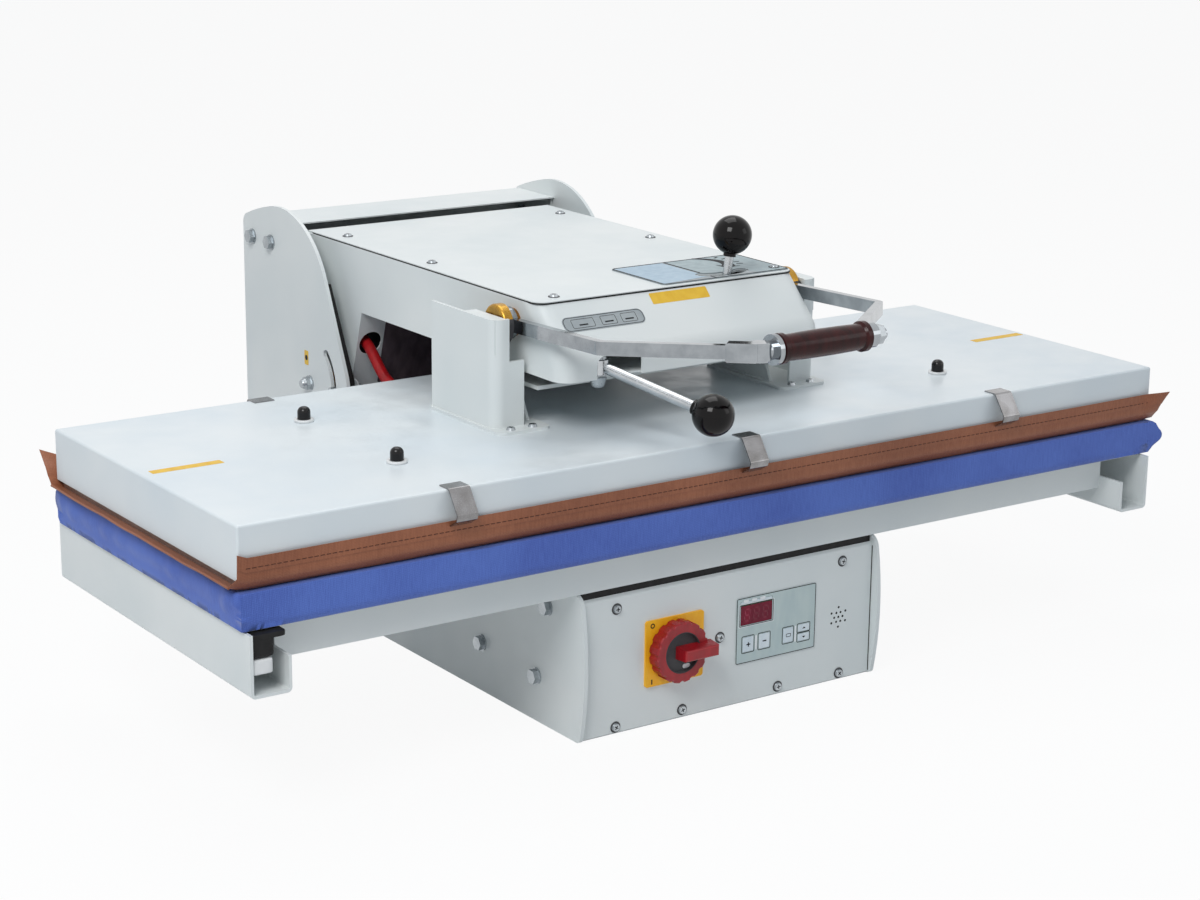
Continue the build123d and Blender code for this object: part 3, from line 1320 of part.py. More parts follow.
eye_start = GRIP_END + LOOSE_FIT
diagonal = Vector(KNUCKLE_X - BAR_X, BAR_BEND - GRIP_REACH)
knuckle_inset = 26.0
knuckle = Vector(-KNUCKLE_X, -GRIP_REACH)
left_end = knuckle + Vector(diagonal.X, -diagonal.Y).normalized() * knuckle_inset
right_end = Vector(eye_start + BAR_THICKNESS / 2, -GRIP_REACH)
bar_ends = {
    "left": (left_end,),
    "right": (right_end + Vector(0, EYE_STRAIGHT), right_end),
}
for name, side in SIDES.items():
    with BuildPart() as bail_bar:
        with BuildSketch(BAIL_PLANE):
            with BuildLine():
                FilletPolyline(
                    (side * BAR_X, 0),
                    (side * BAR_X, -BAR_BEND),
                    *bar_ends[name],
                    radius=BAR_BEND_R,
                )
            trace(line_width=BAR_THICKNESS)
        extrude(amount=BAR_HEIGHT / 2, both=True)
        with BuildSketch(along_x(side, BAR_X - BAR_THICKNESS / 2, SHAFT_Y, SHAFT_Z)):
            Circle(BAR_EYE_R)
        extrude(amount=BAR_THICKNESS)
        with BuildSketch(along_x(side, BAR_X - BAR_THICKNESS / 2, SHAFT_Y, SHAFT_Z)):
            Circle(SHAFT_R)
        extrude(amount=BAR_THICKNESS, mode=Mode.SUBTRACT)
        if name == "right":
            grip_axis = BAIL_PLANE.from_local_coords(Vector(0, -GRIP_REACH, 0))
            with BuildSketch(along_x(1, eye_start, grip_axis.Y, grip_axis.Z)):
                Circle(BAR_HEIGHT - 1)
            extrude(amount=BAR_THICKNESS)
            with BuildSketch(along_x(1, 0, grip_axis.Y, grip_axis.Z)):
                Circle(GRIP_ROD_R)
            extrude(amount=2 * KNUCKLE_X, mode=Mode.SUBTRACT)
    save(bail_bar, f"{name}_bail_bar")

# Knuckle, collar and rod that carry the grip
with BuildPart() as eye_bolt:
    with BuildSketch(BAIL_PLANE):
        with BuildLine():
            Line(left_end, knuckle + (knuckle - left_end).normalized() * 4)
        trace(line_width=16)
        with Locations((-KNUCKLE_X + 6, -GRIP_REACH)):
            Circle(11)
    extrude(amount=BAR_HEIGHT / 2 + 2.5, both=True)
    chamfer(faces().filter_by(BAIL_PLANE).edges(), length=1.5)
    with BuildSketch(along_x(1, -KNUCKLE_X + 6, grip_axis.Y, grip_axis.Z)):
        Circle(9)
    extrude(amount=GRIP_START - LOOSE_FIT + KNUCKLE_X - 6)
    with BuildSketch(along_x(1, GRIP_START - LOOSE_FIT - 5, grip_axis.Y, grip_axis.Z)):
        Circle(GRIP_COLLAR_R)
    extrude(amount=5)
    with BuildSketch(along_x(1, GRIP_START - LOOSE_FIT, grip_axis.Y, grip_axis.Z)):
        Circle(GRIP_ROD_R)
    extrude(amount=eye_start + BAR_THICKNESS + 14 - GRIP_START)
save(eye_bolt, "eye_bolt")

with BuildPart() as grip_nut:
    with BuildSketch(along_x(1, eye_start + BAR_THICKNESS, grip_axis.Y, grip_axis.Z)):
        Circle(GRIP_NUT_R + 1)
    extrude(amount=1.5)
    with BuildSketch(along_x(1, eye_start + BAR_THICKNESS + 1.5, grip_axis.Y, grip_axis.Z)):
        RegularPolygon(GRIP_NUT_R, 6)
        Circle(GRIP_ROD_R, mode=Mode.SUBTRACT)
    extrude(amount=8)
    with BuildSketch(along_x(1, eye_start + BAR_THICKNESS, grip_axis.Y, grip_axis.Z)):
        Circle(GRIP_ROD_R)
    extrude(amount=10, mode=Mode.SUBTRACT)
save(grip_nut, "grip_nut")

# Turned grip, free on its rod
with BuildPart() as bail_grip:
    with BuildSketch(
        Plane(origin=(0, grip_axis.Y, grip_axis.Z), x_dir=(1, 0, 0), z_dir=(0, -1, 0))
    ):
        with BuildLine():
            Polyline(
                (GRIP_START, GRIP_R - 2),
                (GRIP_START, GRIP_ROD_R + RUNNING_FIT),
                (GRIP_END, GRIP_ROD_R + RUNNING_FIT),
                (GRIP_END, GRIP_R - 2),
            )
            Line((GRIP_END, GRIP_R - 2), (GRIP_END - 2, GRIP_COLLAR_R))
            Line((GRIP_END - 2, GRIP_COLLAR_R), (GRIP_END - 7, GRIP_COLLAR_R))
            Line((GRIP_END - 7, GRIP_COLLAR_R), (GRIP_END - 9, GRIP_R - 0.8))
            ThreePointArc(
                (GRIP_END - 9, GRIP_R - 0.8),
                ((GRIP_START + GRIP_END) / 2, GRIP_R),
                (GRIP_START + 9, GRIP_R - 0.8),
            )
            Line((GRIP_START + 9, GRIP_R - 0.8), (GRIP_START + 7, GRIP_COLLAR_R))
            Line((GRIP_START + 7, GRIP_COLLAR_R), (GRIP_START + 2, GRIP_COLLAR_R))
            Line((GRIP_START + 2, GRIP_COLLAR_R), (GRIP_START, GRIP_R - 2))
        make_face()
    revolve(axis=Axis((0, grip_axis.Y, grip_axis.Z), (1, 0, 0)))
save(bail_grip, "bail_grip")

# Gas springs: cylinders on the tray's pins, rods on the crank pins of the arm
with BuildPart() as gas_cylinders:
    for side in SIDES.values():
        with BuildSketch(Plane.XY.offset(GAS_ANCHOR_Z + 12)):
            with Locations((side * GAS_X, CRANK_Y)):
                Circle(GAS_TUBE_R)
        extrude(amount=GAS_TUBE_TOP - GAS_ANCHOR_Z - 12)
        with BuildSketch(along_x(1, side * GAS_X - GAS_EYE / 2, CRANK_Y, GAS_ANCHOR_Z)):
            Circle(GAS_EYE - 1)
            with Locations((0, 10)):
                Rectangle(10, 20)
        extrude(amount=GAS_EYE)
        with BuildSketch(along_x(1, side * GAS_X - GAS_EYE / 2, CRANK_Y, GAS_ANCHOR_Z)):
            Circle(CRANK_PIN_R + RUNNING_FIT)
        extrude(amount=GAS_EYE, mode=Mode.SUBTRACT)
        with BuildSketch(Plane.XY.offset(GAS_ANCHOR_Z + 24)):
            with Locations((side * GAS_X, CRANK_Y)):
                Circle(GAS_TUBE_R - 1.5)
        extrude(amount=GAS_TUBE_TOP - GAS_ANCHOR_Z - 32, mode=Mode.SUBTRACT)
        with BuildSketch(Plane.XY.offset(GAS_TUBE_TOP)):
            with Locations((side * GAS_X, CRANK_Y)):
                Circle(GAS_ROD_R + RUNNING_FIT)
        extrude(amount=-12, mode=Mode.SUBTRACT)
save(gas_cylinders, "gas_cylinders")

with BuildPart() as gas_rods:
    for side in SIDES.values():
        with BuildSketch(Plane.XY.offset(GAS_ANCHOR_Z + 28)):
            with Locations((side * GAS_X, CRANK_Y)):
                Circle(GAS_TUBE_R - 1.5 - LOOSE_FIT)
        extrude(amount=8)
        with BuildSketch(Plane.XY.offset(GAS_ANCHOR_Z + 28)):
            with Locations((side * GAS_X, CRANK_Y)):
                Circle(GAS_ROD_R)
        extrude(amount=CRANK_Z - CRANK_PIN_R - CRANK_CLEARANCE - 2 - GAS_ANCHOR_Z - 28)
        with BuildSketch(along_x(1, side * GAS_X - GAS_EYE / 2, CRANK_Y, CRANK_Z)):
            Circle(CRANK_PIN_R + CRANK_CLEARANCE + 4)
            Circle(CRANK_PIN_R + CRANK_CLEARANCE, mode=Mode.SUBTRACT)
        extrude(amount=GAS_EYE)
save(gas_rods, "gas_rods")

# Heater cable from the leg of the arm to the gland in the back of the platen
cable_end = (CABLE_ROUTE[-1][0], half_y - 3, CABLE_ROUTE[-1][2])
with BuildPart() as heater_cable:
    with BuildLine() as route:
        hanging = Spline(*CABLE_ROUTE, tangents=((-0.1, -1, 0), (0, -1, 0)))
        Line(hanging @ 1, cable_end)
    with BuildSketch(Plane(origin=hanging @ 0, z_dir=hanging % 0)):
        Circle(CABLE_R)
    sweep(path=route.line)
save(heater_cable, "heater_cable")

with BuildPart() as cable_gland:
    gland_plane = Plane(
        origin=(cable_end[0], half_y, cable_end[2]), x_dir=(-1, 0, 0), z_dir=(0, 1, 0)
    )
    with BuildSketch(gland_plane):
        RegularPolygon(CABLE_R + 4, 6, major_radius=False)
    extrude(amount=4)
    with BuildSketch(gland_plane.offset(4)):
        Circle(CABLE_R + 3)
    extrude(amount=7, taper=8)
    with BuildSketch(gland_plane):
        Circle(CABLE_R + 1)
    extrude(amount=-COVER_SHEET)
    with BuildSketch(gland_plane):
        Circle(CABLE_R)
    extrude(amount=12, both=True, mode=Mode.SUBTRACT)
save(cable_gland, "cable_gland")
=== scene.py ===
"""Looks of a flatbed fusing press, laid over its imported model.

Lengths are metres in the shared frame. Names that end in _mm are millimetres, and so are all
sizes of prints, repeats, control panel, labels and fittings.
"""

from __future__ import annotations

import logging
import math
from dataclasses import dataclass
from enum import Enum

import bmesh
import bpy
from mathutils import Matrix, Vector, noise


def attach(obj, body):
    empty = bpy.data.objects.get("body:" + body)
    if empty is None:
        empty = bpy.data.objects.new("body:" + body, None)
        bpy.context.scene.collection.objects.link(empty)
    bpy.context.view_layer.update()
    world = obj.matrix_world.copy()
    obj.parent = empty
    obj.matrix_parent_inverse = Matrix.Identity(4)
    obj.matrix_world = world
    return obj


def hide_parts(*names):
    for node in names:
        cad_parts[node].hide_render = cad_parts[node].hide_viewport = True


log = logging.getLogger("fusing_press")
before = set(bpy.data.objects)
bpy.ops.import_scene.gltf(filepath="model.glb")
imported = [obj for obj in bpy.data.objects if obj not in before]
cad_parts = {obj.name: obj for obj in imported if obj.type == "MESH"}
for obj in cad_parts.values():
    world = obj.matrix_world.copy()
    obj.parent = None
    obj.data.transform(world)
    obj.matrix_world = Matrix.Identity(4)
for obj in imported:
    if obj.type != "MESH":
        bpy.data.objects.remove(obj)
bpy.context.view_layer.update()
MM = 0.001

Node = bpy.types.Node
Tree = bpy.types.NodeTree
Socket = bpy.types.NodeSocket
Outline = list[tuple[float, float]]
Turn = tuple[float, float, float]


def linear(code: str) -> tuple[float, float, float, float]:
    """Turn an sRGB hex value into the linear colour that a shader takes.

    Args:
        code: six hex digits after a hash sign.

    Returns:
        Red, green, blue and a full alpha.
    """
    shares = [int(code[at : at + 2], 16) / 255 for at in (1, 3, 5)]
    red, green, blue = (
        share / 12.92 if share <= 0.04045 else ((share + 0.055) / 1.055) ** 2.4
        for share in shares
    )
    return red, green, blue, 1.0


def set_inputs(tree: Tree, node: Node, inputs: dict) -> None:
    """Set a node's inputs to values, or link them.

    Args:
        tree: the node tree that has the node.
        node: the node.
        inputs: socket name or number to a value, or to the socket that feeds it.
    """
    for name, value in inputs.items():
        if isinstance(value, Socket):
            tree.links.new(value, node.inputs[name])
        else:
            node.inputs[name].default_value = value


def add_node(tree: Tree, kind: str, inputs: dict | None = None, **settings) -> Node:
    """Add one node with its settings, its values and the links into it.

    Args:
        tree: the node tree that takes the node.
        kind: Blender's name of the node type.
        inputs: what set_inputs takes.
        **settings: properties of the node itself.

    Returns:
        The new node.
    """
    made = tree.nodes.new(kind)
    for name, value in settings.items():
        setattr(made, name, value)
    set_inputs(tree, made, inputs or {})
    return made


def bare_tree(owner: bpy.types.Material | bpy.types.World) -> Tree:
    """Give a material or the world an empty node tree.

    Args:
        owner: the material or the world.

    Returns:
        Its tree.
    """
    owner.use_nodes = True
    owner.node_tree.nodes.clear()
    return owner.node_tree


def link_object(name: str, data: bpy.types.ID) -> bpy.types.Object:
    """Put a mesh, curve, camera or lamp into the scene.

    Args:
        name: the object's name.
        data: what it shows.

    Returns:
        The new object.
    """
    made = bpy.data.objects.new(name, data)
    bpy.context.scene.collection.objects.link(made)
    return made


@dataclass(frozen=True)
class Finish:
    """What all finishes share: a name, a colour and a gloss."""

    name: str
    colour: str
    roughness: float = 0.4
    ior: float = 1.5
    specular: float = 0.5

    def material(self) -> bpy.types.Material:
        """Give this finish's material, made on first use.

        Returns:
            The node-based material.
        """
        known = bpy.data.materials.get(self.name)
        if known is not None:
            return known
        made = bpy.data.materials.new(self.name)
        tree = bare_tree(made)
        shader = add_node(
            tree,
            "ShaderNodeBsdfPrincipled",
            {"Roughness": self.roughness, "IOR": self.ior, "Specular IOR Level": self.specular},
        )
        add_node(tree, "ShaderNodeOutputMaterial", {"Surface": shader.outputs["BSDF"]})
        set_inputs(tree, shader, self.dress(tree))
        made.diffuse_color = linear(self.colour)
        return made

    def dress(self, tree: Tree) -> dict:
        """Build the finish's pattern and give what feeds the shader; each kind has its own."""
        raise NotImplementedError

    def grain(self, tree: Tree, size_mm: float | tuple[float, float, float], detail: float = 2.0) -> Socket:
        """Lay noise on the piece at a real size.

        Args:
            tree: the material's tree.
            size_mm: grain size, the same on each axis or one for each.
            detail: octaves of noise.

        Returns:
            The noise's value, about 0.3 to 0.7.
        """
        sizes = (size_mm,) * 3 if isinstance(size_mm, (int, float)) else size_mm
        place = add_node(tree, "ShaderNodeTexCoord")
        scaled = add_node(
            tree,
            "ShaderNodeMapping",
            {"Vector": place.outputs["Object"], "Scale": tuple(1 / (size * MM) for size in sizes)},
        )
        spread = add_node(
            tree, "ShaderNodeTexNoise", {"Vector": scaled.outputs["Vector"], "Scale": 1.0, "Detail": detail}
        )
        return spread.outputs["Fac"]

    def between(
        self, tree: Tree, share: Socket, low: float, high: float, start: float = 0.35, stop: float = 0.65
    ) -> Socket:
        """Spread a noise value over a range.

        Args:
            tree: the material's tree.
            share: the value to spread.
            low: result at start.
            high: result at stop.
            start: value that gives low.
            stop: value that gives high.

        Returns:
            The spread value.
        """
        made = add_node(
            tree,
            "ShaderNodeMapRange",
            {"Value": share, "From Min": start, "From Max": stop, "To Min": low, "To Max": high},
        )
        return made.outputs["Result"]

    def tint(self, tree: Tree, share: Socket, first: str, second: str) -> Socket:
        """Mix two colours by a value from 0 to 1.

        Args:
            tree: the material's tree.
            share: how much of the second colour.
            first: hex colour at 0.
            second: hex colour at 1.

        Returns:
            The mixed colour.
        """
        made = add_node(
            tree, "ShaderNodeMix", {0: share, 6: linear(first), 7: linear(second)}, data_type="RGBA"
        )
        return made.outputs[2]

    def bump(
        self, tree: Tree, height: Socket, depth_mm: float, strength: float, under: Socket | None = None
    ) -> Socket:
        """Turn a height into a surface normal.

        Args:
            tree: the material's tree.
            height: height from 0 to 1.
            depth_mm: what 1 is in millimetres.
            strength: how strongly it shows.
            under: a normal that it lies on.

        Returns:
            The bumped normal.
        """
        inputs = {"Height": height, "Distance": depth_mm * MM, "Strength": strength}
        if under is not None:
            inputs["Normal"] = under
        return add_node(tree, "ShaderNodeBump", inputs).outputs["Normal"]


@dataclass(frozen=True)
class PowderCoat(Finish):
    """Baked powder paint on sheet steel: even tone, soft gloss, fine orange peel."""

    shade: str = "#c6ced2"
    peel_mm: float = 2.2

    def dress(self, tree: Tree) -> dict:
        """Mottle the tone over a hand's width and ripple the film.

        Args:
            tree: the material's tree.

        Returns:
            The shader's inputs.
        """
        cloud = self.between(tree, self.grain(tree, 140.0), 0.0, 1.0)
        handled = self.grain(tree, 28.0, 3.0)
        return {
            "Base Color": self.tint(tree, cloud, self.colour, self.shade),
            "Roughness": self.between(tree, handled, self.roughness - 0.06, self.roughness + 0.08),
            "Normal": self.bump(tree, self.grain(tree, self.peel_mm), 0.05, 0.35),
        }


class Lay(Enum):
    """Way that the fine lines of a metal surface run, as grain sizes on X, Y and Z."""

    ALONG_X = (60.0, 0.35, 0.35)
    ALONG_Z = (0.35, 0.35, 60.0)
    NONE = (1.2, 1.2, 1.2)


@dataclass(frozen=True)
class Metal(Finish):
    """Bare or plated metal: mirror-like or satin, with the lines of its making."""

    shade: str = "#8e9296"
    lay: Lay = Lay.NONE
    scratch: float = 0.15

    def dress(self, tree: Tree) -> dict:
        """Draw the tool lines into tone, gloss and height.

        Args:
            tree: the material's tree.

        Returns:
            The shader's inputs.
        """
        lines = self.grain(tree, self.lay.value, 3.0)
        stain = self.between(tree, self.grain(tree, 18.0, 3.0), 0.0, 0.6)
        return {
            "Metallic": 1.0,
            "Base Color": self.tint(tree, stain, self.colour, self.shade),
            "Roughness": self.between(tree, lines, self.roughness * 0.75, self.roughness * 1.4),
            "Normal": self.bump(tree, lines, 0.02, self.scratch),
        }


@dataclass(frozen=True)
class Moulded(Finish):
    """Pressed or injection-moulded plastic: fine tool grain and faint flow marks."""

    shade: str = "#202020"
    grain_mm: float = 0.8
    relief: float = 0.25

    def dress(self, tree: Tree) -> dict:
        """Mix the flow marks into the tone and grain the skin.

        Args:
            tree: the material's tree.

        Returns:
            The shader's inputs.
        """
        flow = self.between(tree, self.grain(tree, (9.0, 9.0, 26.0), 3.0), 0.0, 1.0)
        rub = self.grain(tree, 6.0)
        low = max(0.04, self.roughness - 0.05)
        return {
            "Base Color": self.tint(tree, flow, self.colour, self.shade),
            "Roughness": self.between(tree, rub, low, self.roughness + 0.07),
            "Normal": self.bump(tree, self.grain(tree, self.grain_mm), 0.03, self.relief),
        }


class Weave(Enum):
    """How the threads of a cloth cross."""

    PLAIN = "plain"
    TWILL = "twill"


# A wave texture of this scale has one crest for each unit of length
CREST = 0.3142


@dataclass(frozen=True)
class Woven(Finish):
    """Cloth on the UV map "cloth", which holds metres along and across it."""

    shade: str = "#203060"
    weave: Weave = Weave.PLAIN
    thread_mm: float = 1.2
    sheen: float = 0.0
    relief: float = 0.6

    def threads(self, tree: Tree) -> Socket:
        """Cross warp and weft, one over the other by squares or diagonals.

        Args:
            tree: the material's tree.

        Returns:
            The height of the threads, from 0 to 1.
        """
        cloth = add_node(tree, "ShaderNodeUVMap", uv_map="cloth")
        per_metre = 1 / (self.thread_mm * MM)
        scaled = add_node(
            tree,
            "ShaderNodeMapping",
            {"Vector": cloth.outputs["UV"], "Scale": (per_metre, per_metre, 1.0)},
        )
        run = {"Vector": scaled.outputs["Vector"], "Scale": CREST}
        warp, weft = (add_node(tree, "ShaderNodeTexWave", run, bands_direction=way) for way in "XY")
        if self.weave is Weave.TWILL:
            over = add_node(
                tree, "ShaderNodeTexWave", run | {"Scale": CREST / 2}, bands_direction="DIAGONAL"
            )
        else:
            over = add_node(tree, "ShaderNodeTexChecker", run | {"Scale": 1.0})
        height = add_node(
            tree,
            "ShaderNodeMix",
            {0: over.outputs["Fac"], 2: warp.outputs["Fac"], 3: weft.outputs["Fac"]},
            data_type="FLOAT",
        )
        return height.outputs[0]

    def dress(self, tree: Tree) -> dict:
        """Let tone and creases vary over the crossed threads, with painted shade in the weave's low places.

        Args:
            tree: the material's tree.

        Returns:
            The shader's inputs.
        """
        height = self.threads(tree)
        worn = self.between(tree, self.grain(tree, 120.0, 3.0), 0.0, 0.45)
        slub = self.between(tree, self.grain(tree, (1.5, 1.5, 14.0)), -0.15, 0.15)
        # Painted shade: the lower a thread lies, the more of the shade colour it takes
        hollow_shade = self.between(tree, height, 0.5, 0.0, 0.0, 0.7)
        first = add_node(tree, "ShaderNodeMath", {0: worn, 1: slub}, operation="ADD")
        share = add_node(
            tree, "ShaderNodeMath", {0: first.outputs[0], 1: hollow_shade}, operation="ADD", use_clamp=True
        )
        creased = self.bump(tree, self.grain(tree, 24.0, 4.0), 1.2, 0.25)
        return {
            "Sheen Weight": self.sheen,
            "Base Color": self.tint(tree, share.outputs[0], self.colour, self.shade),
            "Normal": self.bump(tree, height, 0.15, self.relief, creased),
        }


# Powder paint: the press's pale grey-white, soft gloss that shows broad light only
BODY_PAINT = PowderCoat("powder_coated_steel", "#e4e8e7", 0.42, shade="#dce2e2")
# Same paint on the large platen cover, smoother; its slightly bluer tint is painted light, the cool light on
# the platen's top
PLATEN_PAINT = PowderCoat("powder_coated_platen", "#e2e8ea", 0.34, shade="#d8e1e6", peel_mm=2.6)
# Matt black paint inside the arm and on the welded frame: swallows light behind the gaps
BLACK_PAINT = PowderCoat("black_painted_steel", "#191a1c", 0.5, shade="#222426", peel_mm=1.6)
# Bright chromium on the bail bars: dark and light reflections with hard edges
CHROME = Metal("chrome_plated_steel", "#a4a9ad", 0.1, shade="#83888d", scratch=0.08)
# Ground and polished rods and shafts: bright, with soft long highlights
ROD_STEEL = Metal("polished_rod_steel", "#c2c6c9", 0.2, shade="#a9adb1", scratch=0.12)
# Zinc plate on bolts and nuts: bluish, dull in patches
ZINC = Metal("zinc_plated_steel", "#b3b9bd", 0.34, shade="#8d9499", scratch=0.25)
# Galvanised tray and bed plate: cool grey, dull, a little cloudy
GALVANISED = Metal("galvanised_sheet", "#a7acaf", 0.42, shade="#8f9598", scratch=0.2)
# Spring steel of the clips: grey, with fine rolled lines along the strip
SPRING_STEEL = Metal("rolled_spring_steel", "#98989a", 0.2, shade="#6d6a68", lay=Lay.ALONG_Z, scratch=0.3)
# Brass hub rings: warm yellow, turned
BRASS = Metal("turned_brass", "#b98f3e", 0.28, shade="#7d5d25", scratch=0.3)
# Bronze bushes: redder than brass, dull with oil
BRONZE = Metal("oiled_bronze", "#a8783f", 0.36, shade="#7f5728", scratch=0.25)
# Milled aluminium heating plate: pale, with long cutter lines
ALUMINIUM = Metal("milled_aluminium", "#b9bcbe", 0.32, shade="#a2a5a8", lay=Lay.ALONG_X, scratch=0.35)
# Phenolic ball knobs: deep black with mirror points of light
PHENOLIC = Moulded(
    "black_phenolic", "#050405", 0.07, specular=0.22, shade="#0a0607", grain_mm=2.0, relief=0.04
)
# Turned phenolic grip: very dark red-brown, marbled, worn to a soft gloss
BROWN_PHENOLIC = Moulded(
    "brown_phenolic_resin", "#26080a", 0.2, specular=0.22, shade="#3c0f10", grain_mm=1.0, relief=0.12
)
# Cap nuts in black thermoset: deep black with a dusty gloss
BLACK_CAP = Moulded("black_thermoset_cap", "#08080a", 0.18, specular=0.3, shade="#121214", relief=0.15)
# Glands and switch body in black nylon, matt and finely grained; the same black is the painted shade over the
# hubs' fronts and in the rings round the screw heads
BLACK_NYLON_AND_SHADE = Moulded("black_nylon", "#141516", 0.46, shade="#1d1e20", relief=0.35)
# Knob of the main switch: strong red, satin, grainy
RED_KNOB = Moulded("red_abs", "#a3151f", 0.34, shade="#8c101b", relief=0.3)
# Yellow plate of the main switch: flat warm yellow
YELLOW_PLATE = Moulded("yellow_abs", "#ffc01c", 0.42, shade="#fab510", relief=0.3)
# Screen-printed polyester foil of the keypad: grey-green with a fine texture
KEY_FOIL = Moulded("printed_polyester_foil", "#c0cfce", 0.36, shade="#b7c8c9", grain_mm=0.5, relief=0.3)
# Keys under the foil: pale blue-white, slightly glossy
KEY_CAP = Moulded("pale_key_foil", "#dfe9ee", 0.3, shade="#d3e0e8", grain_mm=0.5, relief=0.2)
# Screen ink, near black, matt and even; the same ink is the painted shade in the screws' cross recesses
INK_AND_SHADE = Moulded(
    "black_ink_and_recess_shade", "#1a1b1e", 0.6, specular=0.15, shade="#232528", grain_mm=0.6, relief=0.1
)
# White ink of the foil's frames and bars: clean, a little glossy
WHITE_INK = Moulded("white_screen_ink", "#eff1f2", 0.4, shade="#e4e8ea", grain_mm=0.6, relief=0.1)
# Solder resist on the circuit board: deep green, glossy
BOARD = Moulded("green_solder_resist", "#0f5a34", 0.3, shade="#0c4a2b", grain_mm=1.5, relief=0.3)
# Dark red filter of the display: smooth and deep, one broad highlight
DISPLAY = Moulded(
    "red_display_filter", "#7e1330", 0.3, specular=0.2, shade="#6b0f2a", grain_mm=2.0, relief=0.03
)
# Unlit segments: a shade redder than the filter, smooth
SEGMENT = Moulded("unlit_display_segment", "#9a2444", 0.2, shade="#70102a", grain_mm=1.0, relief=0.05)
# Silicone sponge of the bed: terracotta, open-celled, quite dull
SPONGE = Moulded("silicone_sponge", "#c8805a", 0.8, shade="#b8704c", grain_mm=1.8, relief=0.8)
# Cotton drill cover of the bed: strong blue, fine diagonal rib; thread 0.7 mm, drawn at 1.6 to show
BLUE_DRILL = Woven(
    "blue_cotton_drill", "#5877ca", 0.82, shade="#4059ac", weave=Weave.TWILL, thread_mm=1.6, sheen=0.15
)
# PTFE-coated glass cloth: tan brown, waxy gloss over a plain weave; thread 0.6 mm, drawn at 1.4
GLASS_CLOTH = Woven(
    "coated_glass_cloth", "#a5684a", 0.44, 1.38, shade="#7f4a33", thread_mm=1.4, relief=0.35
)
# Silicone-jacketed heater lead: saturated red with a rubber bloom
RED_SILICONE = Moulded(
    "red_silicone_jacket", "#b3161c", 0.42, 1.43, shade="#981218", grain_mm=1.2, relief=0.2
)
# Blank yellow vinyl strips: flat warm tone, dull
YELLOW_VINYL = Moulded("yellow_vinyl_strip", "#e8bd3a", 0.5, shade="#dfb02c", grain_mm=1.0, relief=0.15)
# Waxed thread of the hems: darker than the cloth, dull
THREAD = Moulded("waxed_thread", "#532c1c", 0.6, specular=0.3, shade="#442214", grain_mm=0.8, relief=0.5)
# Black rubber of buffers, seals and gasket, soft black that shows no mirror points; the same black is the
# painted shade in the sound holes, over the shaft's openings in the arm's sides and inside the side plates'
# front edges
RUBBER_AND_SHADE = Moulded("black_rubber_and_painted_shade", "#121213", 0.6, specular=0.25, shade="#1b1b1c", grain_mm=1.4, relief=0.4)
# Dark board in front of the arm's leg, fibrous and dull: painted shade where the leg's wall lies in shadow
SHADE_BOARD = Moulded(
    "painted_shade_board", "#63575c", 0.85, specular=0.1, shade="#51464b", grain_mm=1.2, relief=0.5
)
# Grey field printed on the lever's scale: even, half matt
GREY_PRINT = Moulded(
    "grey_print", "#aab8bb", 0.5, specular=0.25, shade="#9cabaf", grain_mm=0.8, relief=0.1
)
# White nylon of washers and feet: milky, soft gloss
WHITE_NYLON = Moulded("white_nylon", "#eceded", 0.36, shade="#dfe1e1", grain_mm=0.8, relief=0.2)
# Anodised plates left blank: silver grey, brushed lengthways
GREY_LABEL = Metal("anodised_label_plate", "#9aa2a6", 0.45, shade="#868f95", lay=Lay.ALONG_X, scratch=0.2)
# Printed panel of the scale: pale blue, half matt
BLUE_PRINT = Moulded("pale_blue_print", "#a9c0d0", 0.4, shade="#9db6c8", grain_mm=0.8, relief=0.1)

NODE_FINISHES: dict[str, Finish] = {
    node: finish
    for finish, nodes in (
        (BODY_PAINT, "left_side_plate right_side_plate column_hood front_panel front_rail rear_rail"),
        (BODY_PAINT, "left_leg_channel right_leg_channel arm_housing arm_top_cover"),
        (BODY_PAINT, "left_bracket right_bracket yoke_plate"),
        (PLATEN_PAINT, "platen_cover"),
        (BLACK_PAINT, "arm_frame gas_cylinders"),
        (GALVANISED, "bottom_tray bed_plate"),
        (ZINC, "hex_bolts panel_screws cover_screws bracket_screws pivot_nuts lever_bolt"),
        (ZINC, "grip_nut stop_pins"),
        (ROD_STEEL, "pivot_shaft cross_shaft release_rod pressure_rod heating_elements"),
        (CHROME, "left_bail_bar right_bail_bar eye_bolt gas_rods"),
        (SPRING_STEEL, "sheet_clips"),
        (BRASS, "bail_hubs"),
        (BRONZE, "arm_bushes"),
        (ALUMINIUM, "heating_plate"),
        (GREY_LABEL, "scale_plate"),
        (PHENOLIC, "release_ball pressure_ball"),
        (BROWN_PHENOLIC, "bail_grip"),
        (BLACK_CAP, "cap_nuts"),
        (BLACK_NYLON_AND_SHADE, "mains_gland cable_gland switch_body"),
        (RED_KNOB, "switch_knob"),
        (YELLOW_PLATE, "switch_plate"),
        (KEY_FOIL, "key_overlay"),
        (KEY_CAP, "key_plus key_minus key_set key_up key_down"),
        (BOARD, "control_board"),
        (SPONGE, "foam_pad"),
        (BLUE_DRILL, "pad_cover"),
        (GLASS_CLOTH, "release_sheet"),
        (RED_SILICONE, "heater_cable"),
    )
    for node in nodes.split()
}


def new_piece(name: str, mesh: bpy.types.Mesh, body: str, finish: Finish) -> bpy.types.Object:
    """Put a finished mesh into the scene as a piece of the press.

    Args:
        name: the piece's name.
        mesh: its mesh, in the shared frame.
        body: the CAD body that it rides on.
        finish: what it is made of.

    Returns:
        The new object.
    """
    piece = link_object(name, mesh)
    mesh.materials.clear()
    mesh.materials.append(finish.material())
    mesh.polygons.foreach_set("material_index", [0] * len(mesh.polygons))
    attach(piece, body)
    log.info("piece %s: %d faces", name, len(mesh.polygons))
    return piece


